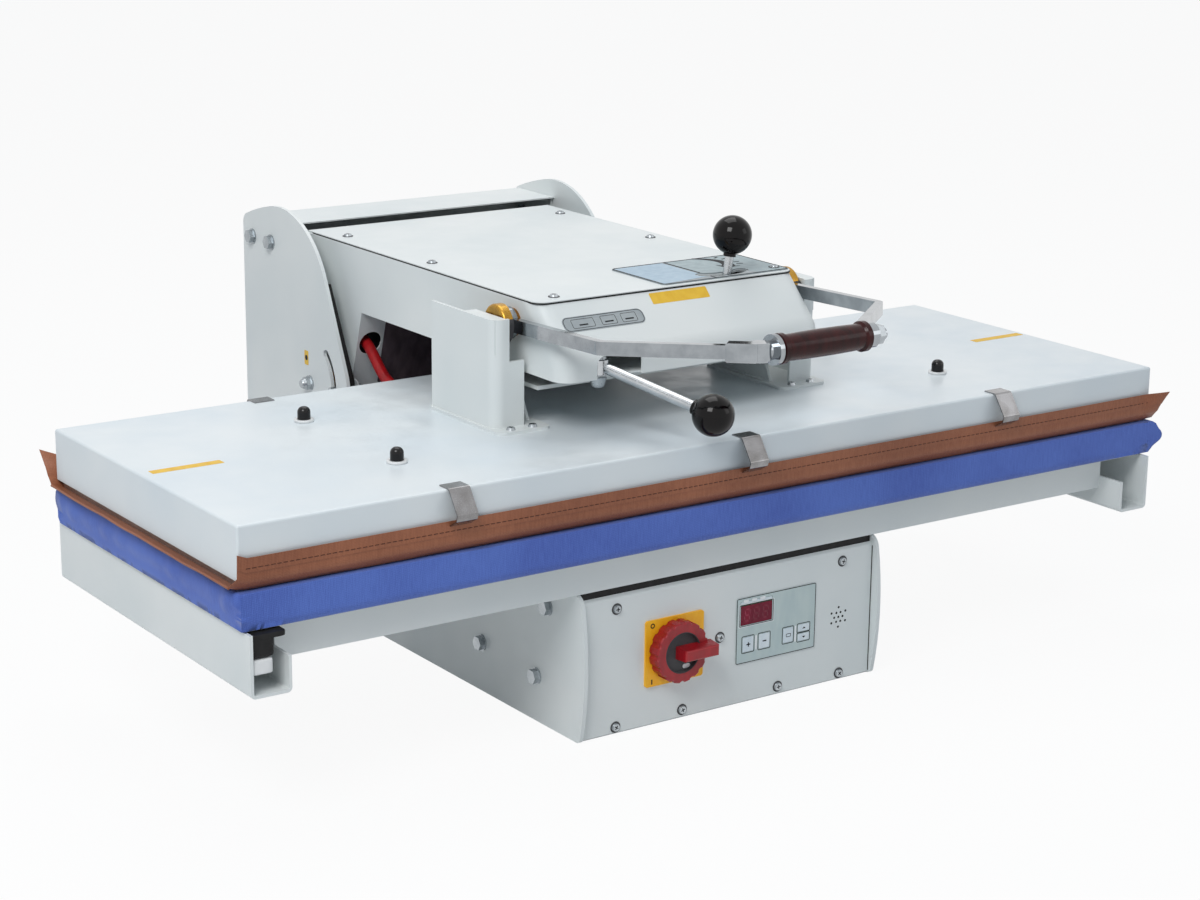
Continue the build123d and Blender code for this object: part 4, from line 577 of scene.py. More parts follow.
def mesh_of(name: str, bm: bmesh.types.BMesh, smooth: float = 40.0) -> bpy.types.Mesh:
    """Turn working geometry into a mesh with outward faces.

    Args:
        name: the mesh's name.
        bm: working geometry, which this frees.
        smooth: edge angle in degrees under which shading stays smooth.

    Returns:
        The mesh.
    """
    bmesh.ops.remove_doubles(bm, verts=bm.verts, dist=1e-6)
    bmesh.ops.recalc_face_normals(bm, faces=bm.faces)
    mesh = bpy.data.meshes.new(name)
    for face in bm.faces:
        face.smooth = True
    for edge in bm.edges:
        edge.smooth = len(edge.link_faces) == 2 and edge.calc_face_angle(0.0) < math.radians(smooth)
    bm.to_mesh(mesh)
    bm.free()
    return mesh


def settle(piece: bpy.types.Object) -> bpy.types.Mesh:
    """Bake a piece's modifiers into a plain mesh.

    Args:
        piece: an object with live modifiers.

    Returns:
        The baked mesh, which the piece now has.
    """
    graph = bpy.context.evaluated_depsgraph_get()
    baked = bpy.data.meshes.new_from_object(piece.evaluated_get(graph), depsgraph=graph)
    piece.modifiers.clear()
    piece.data = baked
    return baked


def cloth_map(mesh: bpy.types.Mesh) -> None:
    """Lay the UV map "cloth" over a mesh in metres, by the way each face looks.

    Args:
        mesh: the mesh that gets the map.
    """
    layer = mesh.uv_layers.new(name="cloth")
    for face in mesh.polygons:
        away = [abs(part) for part in face.normal]
        first, second = ((1, 2), (0, 2), (0, 1))[away.index(max(away))]
        for at in face.loop_indices:
            spot = mesh.vertices[mesh.loops[at].vertex_index].co
            layer.data[at].uv = (spot[first], spot[second])


def ease(value: float) -> float:
    """Give a smooth step from 0 at 0 to 1 at 1."""
    share = min(1.0, max(0.0, value))
    return share * share * (3 - 2 * share)


def bridge(bm: bmesh.types.BMesh, loops: list[list[bmesh.types.BMVert]], caps: bool = True) -> None:
    """Skin a row of closed loops.

    Args:
        bm: working geometry, which has the loops' points.
        loops: the loops in order, with as many points each, or one point where they meet.
        caps: whether the first and the last loop are filled.
    """
    for first, second in zip(loops, loops[1:]):
        count = max(len(first), len(second))
        for at in range(count):
            after = (at + 1) % count
            corners = [loop[step % len(loop)] for loop, step in (
                (first, at), (first, after), (second, after), (second, at)
            )]
            bm.faces.new(list(dict.fromkeys(corners)))
    if caps:
        bm.faces.new(list(reversed(loops[0])))
        bm.faces.new(loops[-1])


def arc(first: float, second: float, radius: float, start: float, stop: float, steps: int = 16) -> Outline:
    """Give points on an arc, its angles in degrees."""
    turns = [math.radians(start + (stop - start) * step / steps) for step in range(steps + 1)]
    return [(first + radius * math.cos(turn), second + radius * math.sin(turn)) for turn in turns]


def rounded(first: float, second: float, width: float, height: float, radius: float) -> Outline:
    """Outline a rectangle with round corners.

    Args:
        first: centre along the plane, in the same unit as the rest.
        second: centre up the plane.
        width: size along it.
        height: size up it.
        radius: corner radius.

    Returns:
        28 points, anticlockwise.
    """
    points = []
    for turn, (right, up) in enumerate(((1, 1), (-1, 1), (-1, -1), (1, -1))):
        corner = (first + (width / 2 - radius) * right, second + (height / 2 - radius) * up)
        points += arc(*corner, radius, 90 * turn, 90 * turn + 90, 6)
    return points


@dataclass
class Studio:
    """Camera at the photograph's place, pale floor and three soft lamps."""

    place: tuple[float, float, float] = (-1.487, -2.077, 0.918)
    yaw: float = 34.83
    pitch: float = 15.17
    roll: float = 0.63
    lens_mm: float = 77.1
    lamp_aim: tuple[float, float, float] = (0.0, 0.0, 0.25)
    floor_half: float = 14.0
    # Share of the floor's own white where it is seen; the rest takes the shadow
    floor_glow: float = 0.93

    def camera(self) -> None:
        """Set the camera from the angles that the photograph gives."""
        yaw, pitch, roll = (math.radians(value) for value in (self.yaw, self.pitch, self.roll))
        ahead = Vector((math.sin(yaw) * math.cos(pitch), math.cos(yaw) * math.cos(pitch), -math.sin(pitch)))
        level = Vector((math.cos(yaw), -math.sin(yaw), 0.0))
        over = level.cross(ahead)
        right = math.cos(roll) * level + math.sin(roll) * over
        up = -math.sin(roll) * level + math.cos(roll) * over
        lens = bpy.data.cameras.new("photo_camera")
        lens.sensor_width = 36.0
        lens.sensor_fit = "HORIZONTAL"
        lens.lens = self.lens_mm
        lens.clip_end = 50.0
        eye = link_object("photo_camera", lens)
        turned = Matrix((right, up, -ahead)).transposed().to_4x4()
        eye.matrix_world = Matrix.Translation(self.place) @ turned
        bpy.context.scene.camera = eye

    def lamp(self, name: str, place: tuple[float, float, float], power: float, size: float) -> None:
        """Hang one square lamp that looks at the press.

        Args:
            name: the lamp's name.
            place: where it hangs.
            power: its watts.
            size: its edge in metres.
        """
        light = bpy.data.lights.new(name, "AREA")
        light.energy = power
        light.size = size
        hung = link_object(name, light)
        hung.location = place
        hung.rotation_euler = (Vector(self.lamp_aim) - Vector(place)).to_track_quat("-Z", "Y").to_euler()

    def seen(self, tree: Tree) -> Socket:
        """Give 1 for rays that see the background itself: camera, mirror and glass.

        Args:
            tree: the node tree that asks.

        Returns:
            1 for those rays, 0 for all others.
        """
        rays = add_node(tree, "ShaderNodeLightPath")
        share = rays.outputs["Is Camera Ray"]
        for kind in ("Is Glossy Ray", "Is Transmission Ray"):
            larger = add_node(
                tree, "ShaderNodeMath", {0: share, 1: rays.outputs[kind]}, operation="MAXIMUM"
            )
            share = larger.outputs[0]
        return share

    def surround(self) -> None:
        """Make the room: dim even light, white where it is seen."""
        world = bpy.data.worlds.new("studio")
        bpy.context.scene.world = world
        tree = bare_tree(world)
        room = add_node(tree, "ShaderNodeBackground", {"Color": linear("#e0e9f3"), "Strength": 0.35})
        white = add_node(tree, "ShaderNodeBackground", {"Color": linear("#ffffff"), "Strength": 1.0})
        mixed = add_node(
            tree, "ShaderNodeMixShader", {0: self.seen(tree), 1: room.outputs[0], 2: white.outputs[0]}
        )
        add_node(tree, "ShaderNodeOutputWorld", {"Surface": mixed.outputs[0]})

    def floor(self) -> None:
        """Lay a wide pale floor that keeps the press's shadow."""
        bm = bmesh.new()
        bmesh.ops.create_grid(bm, x_segments=12, y_segments=12, size=self.floor_half)
        ground = link_object("studio_floor", mesh_of("studio_floor", bm))
        pale = bpy.data.materials.new("pale_studio_floor")
        tree = bare_tree(pale)
        matt = add_node(tree, "ShaderNodeBsdfDiffuse", {"Color": linear("#e9ebec")})
        glow = add_node(tree, "ShaderNodeEmission", {"Color": linear("#ffffff"), "Strength": 1.0})
        share = add_node(
            tree, "ShaderNodeMath", {0: self.seen(tree), 1: self.floor_glow}, operation="MULTIPLY"
        )
        mixed = add_node(
            tree, "ShaderNodeMixShader", {0: share.outputs[0], 1: matt.outputs[0], 2: glow.outputs[0]}
        )
        add_node(tree, "ShaderNodeOutputMaterial", {"Surface": mixed.outputs[0]})
        ground.data.materials.append(pale)

    def build(self) -> None:
        """Set up camera, room, floor and lamps."""
        self.camera()
        self.surround()
        self.floor()
        self.lamp("key_lamp", (-1.9, -1.2, 2.4), 47.0, 1.3)
        self.lamp("fill_lamp", (2.2, -2.2, 1.5), 6.0, 1.3)
        self.lamp("top_lamp", (0.3, 0.8, 2.8), 26.0, 1.8)
        bpy.context.scene.view_settings.view_transform = "Standard"


@dataclass
class HeaterLead:
    """Red lead from the arm's leg to the gland on the platen."""

    width: float = 0.012
    length: float = 0.162
    route_mm: tuple[tuple[float, float, float], ...] = (
        (-140, 340, 305), (-143, 316, 303.5), (-145.5, 294, 299.5), (-149, 273, 289), (-151, 251, 273),
        (-152.5, 228, 265.5), (-153, 206, 265), (-153, 189.5, 265),
    )

    def build(self) -> None:
        """Draw the lead as one smooth curve through its route."""
        line = bpy.data.curves.new("heater_lead", "CURVE")
        line.dimensions = "3D"
        line.bevel_depth = self.width / 2
        line.bevel_resolution = 6
        line.resolution_u = 12
        line.use_fill_caps = True
        spline = line.splines.new("NURBS")
        spline.points.add(len(self.route_mm) - 1)
        for point, spot in zip(spline.points, reversed(self.route_mm)):
            point.co = (*(Vector(spot) * MM), 1.0)
        spline.order_u = 3
        spline.use_endpoint_u = True
        lead = link_object("heater_lead", line)
        line.materials.append(RED_SILICONE.material())
        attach(lead, "platen")
        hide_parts("heater_cable")


@dataclass
class PressingPad:
    """Foam bed under its blue drill cover, which bulges and wrinkles at the ends."""

    bottom: float = 0.1876
    top: float = 0.2222
    half_x: float = 0.5615
    half_y: float = 0.1955
    corner: float = 0.010
    # Height over the bottom and growth of the half length, up the skirt
    profile: tuple[tuple[float, float], ...] = (
        (0.0, -0.0140), (0.005, -0.0085), (0.012, -0.0035), (0.020, 0.0), (0.028, -0.0005), (0.0344, -0.004),
    )
    # The long sides grow by this share of what the ends do
    side_growth: float = 0.15
    voxel: float = 0.0075
    cap: float = 0.0045
    # Where the skirt starts at the ends and sides, and over how much
    end_from: float = 0.545
    side_from: float = 0.180
    skirt_run: float = 0.012
    # Where the corners start along the ends and sides, and over how much
    corner_x: float = 0.47
    corner_x_run: float = 0.08
    corner_y: float = 0.12
    corner_y_run: float = 0.06
    # Heights of the folds at the ends, at the corners and of the broad waves
    end_fold: float = 0.0022
    corner_fold: float = 0.0024
    wave: float = 0.0014
    # How far the right end bulges and the left is drawn in, from where and over how much
    right_bulge: float = 0.0185
    left_tuck: float = 0.0050
    bulge_from: float = 0.525
    bulge_run: float = 0.035
    sag: float = 0.0020
    slack: float = 0.0004
    # The block of foam with its clearance, and the round over its upper edge
    foam_x: float = 0.5385
    foam_y: float = 0.1835
    rim: float = 0.0065
    lip: float = 0.0035
    shoulder: float = 0.009
    # How far off that block the skirt hangs at least, and how far it bows out
    stand_off: float = 0.0090
    bow_x: float = 0.0015
    bow_y: float = 0.0026
    side_limit: float = 0.1995
    # Half size of the opening below
    open_x: float = 0.543
    open_y: float = 0.188

    def skin(self) -> bpy.types.Object:
        """Loft the closed skin that the cloth swells from.

        Returns:
            A working object, remeshed in even faces.
        """
        bm = bmesh.new()
        loops = []
        for rise, grow in self.profile:
            wide, deep = self.half_x + grow, self.half_y + grow * self.side_growth
            outline = rounded(0.0, 0.0, 2 * wide, 2 * deep, self.corner)
            loops.append([bm.verts.new((*spot, self.bottom + rise)) for spot in outline])
        bridge(bm, loops)
        work = link_object("pad_work", mesh_of("pad_work", bm))
        voxels = work.modifiers.new("voxels", "REMESH")
        voxels.mode = "VOXEL"
        voxels.voxel_size = self.voxel
        settle(work)
        return work

    def swell(self, work: bpy.types.Object) -> None:
        """Blow the skin up a little as cloth, with a cap on how far it may go.

        Args:
            work: the skin, changed in place.
        """
        start = [spot.co.copy() for spot in work.data.vertices]
        cloth = work.modifiers.new("swell", "CLOTH")
        cloth.settings.use_pressure = True
        cloth.settings.uniform_pressure_force = 4.0
        cloth.settings.tension_stiffness = 12.0
        cloth.settings.effector_weights.gravity = 0.0
        cloth.settings.quality = 4
        scene = bpy.context.scene
        for number in range(1, 21):
            scene.frame_set(number)
        settle(work)
        scene.frame_set(1)
        for spot, before in zip(work.data.vertices, start):
            move = spot.co - before
            if move.length > self.cap:
                spot.co = before + move.normalized() * self.cap

    def crumple(self, mesh: bpy.types.Mesh) -> None:
        """Fold the skirt where the cover is drawn round corners and ends.

        Args:
            mesh: the cover's mesh, changed in place.
        """
        for spot in mesh.vertices:
            # Not a copy: it follows the point as the point moves
            here = spot.co
            side = ease((abs(here.y) - self.side_from) / self.skirt_run)
            end = ease((abs(here.x) - self.end_from) / self.skirt_run)
            corner = ease((abs(here.x) - self.corner_x) / self.corner_x_run)
            corner *= ease((abs(here.y) - self.corner_y) / self.corner_y_run)
            height = (here.z - self.bottom) / (self.top - self.bottom)
            skirt = max(side, end) * math.sin(math.pi * min(1.0, max(0.0, height * 0.9 + 0.08)))
            slant = here.x + here.y + 0.6 * here.z
            fold = math.sin(slant * 175 + 3.0 * noise.noise(here * 9))
            fold *= 0.25 + 0.75 * noise.noise(here * 14)
            broad = noise.noise(Vector((here.x * 16, here.y * 16, here.z * 60)))
            push = (self.end_fold * end + self.corner_fold * corner) * fold + self.wave * broad * (0.35 + end)
            out = Vector((math.copysign(end, here.x), math.copysign(side, here.y) * (1 - 0.4 * end), 0))
            if out.length > 0.01:
                spot.co = here + out.normalized() * skirt * push
            bulge = ease((abs(here.x) - self.bulge_from) / self.bulge_run)
            if here.x > 0:
                spot.co.x += self.right_bulge * bulge * math.sin(math.pi * min(1.0, height + 0.06))
            else:
                spot.co.x += self.left_tuck * bulge
            low = ease((0.25 - height) / 0.25)
            hang = self.sag * (1 + noise.noise(Vector((here.x * 7, here.y * 11, 0.3))))
            spot.co.z -= low * end * hang * (1.0 if here.x < 0 else 0.4)
            spot.co.z = min(spot.co.z, self.top + self.slack)
            self.clear_foam(here)

    def clear_foam(self, spot: Vector) -> None:
        """Keep a point of the skirt outside the block of foam.

        Args:
            spot: the point, moved in place.
        """
        depth = max(0.0, self.top - spot.z)
        under = spot.z < self.bottom + 0.005
        if abs(spot.y) > self.foam_y - self.rim or abs(spot.x) > self.foam_x - self.rim:
            if under:
                spot.z = self.bottom if abs(spot.x) < self.foam_x else min(spot.z, self.bottom)
            elif depth < self.shoulder:
                spot.z = self.top - depth * ease((depth - self.lip) / (self.shoulder - self.lip))
        out = ease(depth / self.lip) * (0.3 if under else 1.0)
        if abs(spot.y) > self.foam_y:
            nearest = self.foam_y + self.stand_off + self.bow_y * out
            spot.y = math.copysign(min(self.side_limit, max(nearest, abs(spot.y))), spot.y)
        if abs(spot.x) > self.foam_x:
            nearest = self.foam_x + self.stand_off + self.bow_x * out
            spot.x = math.copysign(max(nearest, abs(spot.x)), spot.x)

    def build(self) -> None:
        work = self.skin()
        self.swell(work)
        smoother = work.modifiers.new("even", "SUBSURF")
        smoother.levels = 1
        smoother.render_levels = 1
        mesh = settle(work)
        self.crumple(mesh)
        bm = bmesh.new()
        bm.from_mesh(mesh)
        under = []
        for face in bm.faces:
            middle = face.calc_center_median()
            if face.normal.z < -0.8 and abs(middle.x) < self.open_x and abs(middle.y) < self.open_y:
                under.append(face)
        bmesh.ops.delete(bm, geom=under, context="FACES")
        mesh = bpy.data.meshes.new("pad_cloth")
        for face in bm.faces:
            face.smooth = True
        bm.to_mesh(mesh)
        bm.free()
        bpy.data.objects.remove(work)
        cloth_map(mesh)
        cover = new_piece("pad_cloth", mesh, "base", BLUE_DRILL)
        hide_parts("pad_cover")


# How far the turned edge curls out at each corner of the sheet, by (right end, rear edge)
CORNER_CURL = {(False, False): 0.0, (False, True): 0.021, (True, False): 0.0165, (True, True): 0.012}


@dataclass
class ReleaseSheet:
    """Coated glass cloth under the platen, its long edges turned up and hemmed."""

    level: float = 0.2240
    half_left: float = 0.5570
    half_right: float = 0.5600
    flap_y: float = 0.1950
    plate_y: float = 0.1883
    slant: float = 0.0085
    slant_out: float = 0.0053
    rise: float = 0.0300
    wall: float = 0.0006
    columns: int = 150
    # Where the loose ends start, over how much, and how far they lift
    flare_from: float = 0.540
    flare_run: float = 0.020
    flare_lift: float = 0.0038
    ripple: float = 0.0012
    # The clips that hold the turned edges flat
    clips: tuple[float, ...] = (-0.33, 0.0, 0.33)
    clip_reach: float = 0.05
    pinch: float = 0.0008
    # How far the front left end is drawn in, and the right end raised at its edges
    front_pull: float = 0.0060
    right_raise: float = 0.0030
    roll_radius: float = 0.0012

    def place(self, along: float, across: float, height: float) -> Vector:
        """Give a point of the sheet.

        Args:
            along: from -1 at the left end to 1 at the right.
            across: from -1 at the front fold to 1 at the rear fold.
            height: metres up the turned edge, 0 on the flat.

        Returns:
            The point in the shared frame.
        """
        x = along * (self.half_left if along < 0 else self.half_right)
        flare = ease((abs(x) - self.flare_from) / self.flare_run)
        side = math.copysign(1.0, across)
        y = abs(across) * self.plate_y
        z = self.level + self.flare_lift * flare * (0.3 if x > 0 else 1.0)
        if height > 0:
            low, high = min(height, self.slant), max(0.0, height - self.slant)
            y += self.slant_out * low / self.slant
            y += (self.flap_y - self.plate_y - self.slant_out) * high / (self.rise - self.slant)
            lean = self.ripple * noise.noise(Vector((x * 6, across, 0.0)))
            lean += flare * CORNER_CURL[x > 0, across > 0] * (height / self.rise) ** 1.4
            held = min(abs(x - clip) for clip in self.clips)
            y += max(lean * ease(held / self.clip_reach), -self.pinch)
            if x < 0 and across < 0:
                x += self.front_pull * flare * ease(height / self.slant)
        z += height + self.ripple * flare * noise.noise(Vector((x, across * 4, 1.7)))
        if x > 0:
            z += self.right_raise * flare * height / self.rise
        return Vector((x, side * y, z))

    def strip(self, name: str, rows: Outline, wall: float, shift: float) -> bpy.types.Mesh:
        """Skin a strip of the sheet and give it its thickness.

        Args:
            name: the mesh's name.
            rows: (across, height) of each row.
            wall: thickness.
            shift: how far it is moved out from the sheet.

        Returns:
            The finished mesh.
        """
        bm = bmesh.new()
        grid = []
        for across, height in rows:
            line = []
            for column in range(self.columns + 1):
                spot = self.place(-1 + 2 * column / self.columns, across, height)
                spot.y += math.copysign(shift, across)
                line.append(bm.verts.new(spot))
            grid.append(line)
        for low, high in zip(grid, grid[1:]):
            for at in range(self.columns):
                bm.faces.new((low[at], low[at + 1], high[at + 1], high[at]))
        sheet = link_object(name, mesh_of(name, bm, 60.0))
        thick = sheet.modifiers.new("wall", "SOLIDIFY")
        thick.thickness = wall
        thick.offset = 0.0
        made = settle(sheet)
        bpy.data.objects.remove(sheet)
        cloth_map(made)
        return made

    def roll(self) -> bpy.types.Mesh:
        """Roll the sheet's left end into a thin hem.

        Returns:
            The hem's mesh.
        """
        bm = bmesh.new()
        turns = [math.tau * at / 10 for at in range(10)]
        circle = [Vector((math.cos(turn), 0.0, math.sin(turn))) * self.roll_radius for turn in turns]
        rings = []
        for row in range(61):
            middle = self.place(-1.0, -1 + row / 30, 0.0)
            rings.append([bm.verts.new(middle + spoke) for spoke in circle])
        bridge(bm, rings)
        mesh = mesh_of("left_roll", bm, 60.0)
        cloth_map(mesh)
        return mesh

    def build(self) -> None:
        flat = [(-1 + 2 * step / 24, 0.0) for step in range(25)]
        flap = [0.0030, 0.0060, self.slant, 0.012, 0.016, 0.020, 0.025, self.rise]
        rows = [(-1.0, height) for height in reversed(flap)] + flat + [(1.0, height) for height in flap]
        mesh = self.strip("release_cloth", rows, self.wall, 0.0)
        sheet = new_piece("release_cloth", mesh, "platen", GLASS_CLOTH)
        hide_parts("release_sheet")
        for name, across in (("front_hem", -1.0), ("rear_hem", 1.0)):
            rows = [(across, height) for height in (0.0165, 0.019, 0.024, self.rise + 0.0002)]
            mesh = self.strip(name, rows, 0.0005, 0.0006)
            new_piece(name, mesh, "platen", GLASS_CLOTH)
        new_piece("left_roll", self.roll(), "platen", GLASS_CLOTH)


@dataclass(frozen=True)
class Plane:
    """A flat place on the press that prints and labels lie on."""

    origin: Vector
    across: Vector
    up: Vector

    def point(self, first_mm: float, second_mm: float, lift_mm: float = 0.0) -> Vector:
        """Give the place at two distances along the plane and one off it."""
        spot = self.origin + self.across * first_mm * MM + self.up * second_mm * MM
        return spot + self.across.cross(self.up) * lift_mm * MM


X, Y, Z = Vector((1, 0, 0)), Vector((0, 1, 0)), Vector((0, 0, 1))
PANEL = Plane(Vector((0, -0.172, 0)), X, Z)
PLATEN_TOP = Plane(Vector((0, 0, 0.283)), X, Y)
SCALE_TOP = Plane(Vector((0, 0, 0.409)), X, Y)
COVER_SEAT = Plane(Vector((0, 0, 0.406)), X, Y)
NOSE = Plane(Vector((0, -0.105, 0.361)), X, (Y + Z).normalized())
LEFT_CHEEK = Plane(Vector((-0.184, 0, 0)), -Y, Z)
LEFT_ARM_SIDE = Plane(Vector((-0.158, 0, 0)), -Y, Z)
RIGHT_ARM_SIDE = Plane(Vector((0.158, 0, 0)), Y, Z)
LEFT_HUB = Plane(Vector((-0.1726, 0, 0)), -Y, Z)
RIGHT_HUB = Plane(Vector((0.1726, 0, 0)), Y, Z)


class Prints:
    """Thin prints and plates of one finish on one plane, gathered into one piece."""

    def __init__(self, plane: Plane, lift_mm: float, thick_mm: float) -> None:
        """Start with none.

        Args:
            plane: where they lie.
            lift_mm: height of their underside over the plane.
            thick_mm: their thickness.
        """
        self.plane = plane
        self.low = lift_mm
        self.high = lift_mm + thick_mm
        self.bm = bmesh.new()

    def ring(self, outline: Outline, level: float) -> list[bmesh.types.BMVert]:
        """Place an outline's points at a height."""
        return [self.bm.verts.new(self.plane.point(first, second, level)) for first, second in outline]

    def area(self, outline: Outline) -> Prints:
        """Add a filled outline."""
        bridge(self.bm, [self.ring(outline, self.low), self.ring(outline, self.high)])
        return self

    def line(self, outer: Outline, inner: Outline) -> Prints:
        """Add the band between two outlines.

        Args:
            outer: the outer outline.
            inner: the inner one, with as many points.

        Returns:
            These prints.
        """
        corners = ((outer, self.low), (outer, self.high), (inner, self.high), (inner, self.low))
        loops = [self.ring(outline, level) for outline, level in corners]
        bridge(self.bm, loops + loops[:1], caps=False)
        return self

    def frame(
        self, first: float, second: float, width: float, height: float, radius: float, stroke: float
    ) -> Prints:
        """Add a rounded frame.

        Args:
            first: centre along the plane.
            second: centre up the plane.
            width: outer size along it.
            height: outer size up it.
            radius: outer corner radius.
            stroke: width of the line, inside the size.

        Returns:
            These prints.
        """
        slim = max(0.2, radius - stroke)
        outer = rounded(first, second, width, height, radius)
        inner = rounded(first, second, width - 2 * stroke, height - 2 * stroke, slim)
        return self.line(outer, inner)

    def piece(self, name: str, body: str, finish: Finish, slot: str) -> bpy.types.Object:
        """Close the prints into one piece that rides on a body."""
        return new_piece(name, mesh_of(name, self.bm, 20.0), body, finish)


class Shape(Enum):
    """Small shapes that the repeats are made of, each one unit in size."""

    STITCH = "stitch"
    CROSS = "cross"
    SEGMENT = "segment"
    WASHER = "washer"
    BUFFER = "buffer"
    BEAD = "bead"
    DISC = "disc"


# Turns of a repeated shape: as it is, and with its face to the front
LYING: Turn = (0.0, 0.0, 0.0)
FACING: Turn = (90.0, 0.0, 0.0)


@dataclass
class Repeat:
    """A small shape set on many points by a Geometry Nodes tree."""

    shape: Shape
    length: float
    width: float
    height: float

    def unit(self, tree: Tree) -> Socket:
        """Make the shape itself, one unit long, wide and high.

        Args:
            tree: the tree that takes its nodes.

        Returns:
            The shape's geometry.
        """
        sides = {Shape.STITCH: 8, Shape.SEGMENT: 6, Shape.DISC: 24}
        if self.shape in sides:
            size = {"Vertices": sides[self.shape], "Radius": 0.5, "Depth": 1.0}
            rod = add_node(tree, "GeometryNodeMeshCylinder", size).outputs["Mesh"]
            if self.shape is not Shape.STITCH:
                return rod
            lain = {"Geometry": rod, "Rotation": (0, math.pi / 2, 0)}
            return add_node(tree, "GeometryNodeTransform", lain).outputs["Geometry"]
        if self.shape is Shape.CROSS:
            joined = add_node(tree, "GeometryNodeJoinGeometry")
            for size in ((1.0, 0.22, 1.0), (0.22, 1.0, 1.0)):
                bar = add_node(tree, "GeometryNodeMeshCube", {"Size": size})
                tree.links.new(bar.outputs["Mesh"], joined.inputs[0])
            return joined.outputs[0]
        if self.shape is Shape.WASHER:
            middle = add_node(tree, "GeometryNodeCurvePrimitiveCircle", {"Resolution": 40, "Radius": 0.41})
            section = add_node(
                tree, "GeometryNodeCurvePrimitiveQuadrilateral", {"Width": 0.18, "Height": 1.0}
            )
            swept = add_node(
                tree,
                "GeometryNodeCurveToMesh",
                {"Curve": middle.outputs["Curve"], "Profile Curve": section.outputs["Curve"]},
            )
            return swept.outputs["Mesh"]
        if self.shape is Shape.BUFFER:
            grid = {"Vertices X": 5, "Vertices Y": 5, "Vertices Z": 5}
            block = add_node(tree, "GeometryNodeMeshCube", grid)
            soft = add_node(
                tree, "GeometryNodeSubdivisionSurface", {"Mesh": block.outputs["Mesh"], "Level": 2}
            )
            return soft.outputs["Mesh"]
        ball = add_node(tree, "GeometryNodeMeshIcoSphere", {"Radius": 0.5, "Subdivisions": 2})
        return ball.outputs["Mesh"]

    def tree(self) -> Tree:
        """Build the tree: points in, turned and sized shapes out.

        Returns:
            The Geometry Nodes tree.
        """
        made = bpy.data.node_groups.new(f"repeat_{self.shape.value}", "GeometryNodeTree")
        for name, kind in (
            ("Points", "Geometry"), ("Length", "Float"), ("Width", "Float"), ("Height", "Float"),
            ("Finish", "Material"),
        ):
            made.interface.new_socket(name=name, in_out="INPUT", socket_type="NodeSocket" + kind)
        made.interface.new_socket(name="Shapes", in_out="OUTPUT", socket_type="NodeSocketGeometry")
        given = add_node(made, "NodeGroupInput")
        turn = add_node(
            made, "GeometryNodeInputNamedAttribute", {"Name": "turn"}, data_type="FLOAT_VECTOR"
        )
        turned = add_node(made, "FunctionNodeEulerToRotation", {"Euler": turn.outputs["Attribute"]})
        size = add_node(
            made,
            "ShaderNodeCombineXYZ",
            {"X": given.outputs["Length"], "Y": given.outputs["Width"], "Z": given.outputs["Height"]},
        )
        laid = add_node(
            made,
            "GeometryNodeInstanceOnPoints",
            {
                "Points": given.outputs["Points"],
                "Instance": self.unit(made),
                "Rotation": turned.outputs["Rotation"],
                "Scale": size.outputs["Vector"],
            },
        )
        real = add_node(made, "GeometryNodeRealizeInstances", {"Geometry": laid.outputs["Instances"]})
        dressed = add_node(
            made,
            "GeometryNodeSetMaterial",
            {"Geometry": real.outputs["Geometry"], "Material": given.outputs["Finish"]},
        )
        add_node(made, "NodeGroupOutput", {"Shapes": dressed.outputs["Geometry"]})
        return made

    def lay(
        self, name: str, spots: list[Vector], turns: list[Turn], body: str, finish: Finish, slot: str
    ) -> bpy.types.Object:
        """Set the shape on its points and bake it into a plain piece.

        Args:
            name: the piece's name.
            spots: where each shape's middle goes.
            turns: how each is turned, in degrees about X, Y and Z.
            body: the CAD body that they ride on.
            finish: what they are made of.
            slot: not used.

        Returns:
            The piece.
        """
        carrier = bpy.data.meshes.new(name)
        carrier.from_pydata([tuple(spot) for spot in spots], [], [])
        turning = carrier.attributes.new("turn", "FLOAT_VECTOR", "POINT")
        for item, turn in zip(turning.data, turns):
            item.vector = [math.radians(angle) for angle in turn]
        work = link_object(name + "_points", carrier)
        nodes = work.modifiers.new("repeat", "NODES")
        nodes.node_group = self.tree()
        values = {
            "Length": self.length * MM,
            "Width": self.width * MM,
            "Height": self.height * MM,
            "Finish": finish.material(),
        }
        for socket in nodes.node_group.interface.items_tree:
            if socket.in_out == "INPUT" and socket.name in values:
                nodes[socket.identifier] = values[socket.name]
        mesh = settle(work)
        bpy.data.objects.remove(work)
        mesh.name = name
        if self.shape in (Shape.STITCH, Shape.BUFFER, Shape.BEAD):
            mesh.polygons.foreach_set("use_smooth", [True] * len(mesh.polygons))
        return new_piece(name, mesh, body, finish)


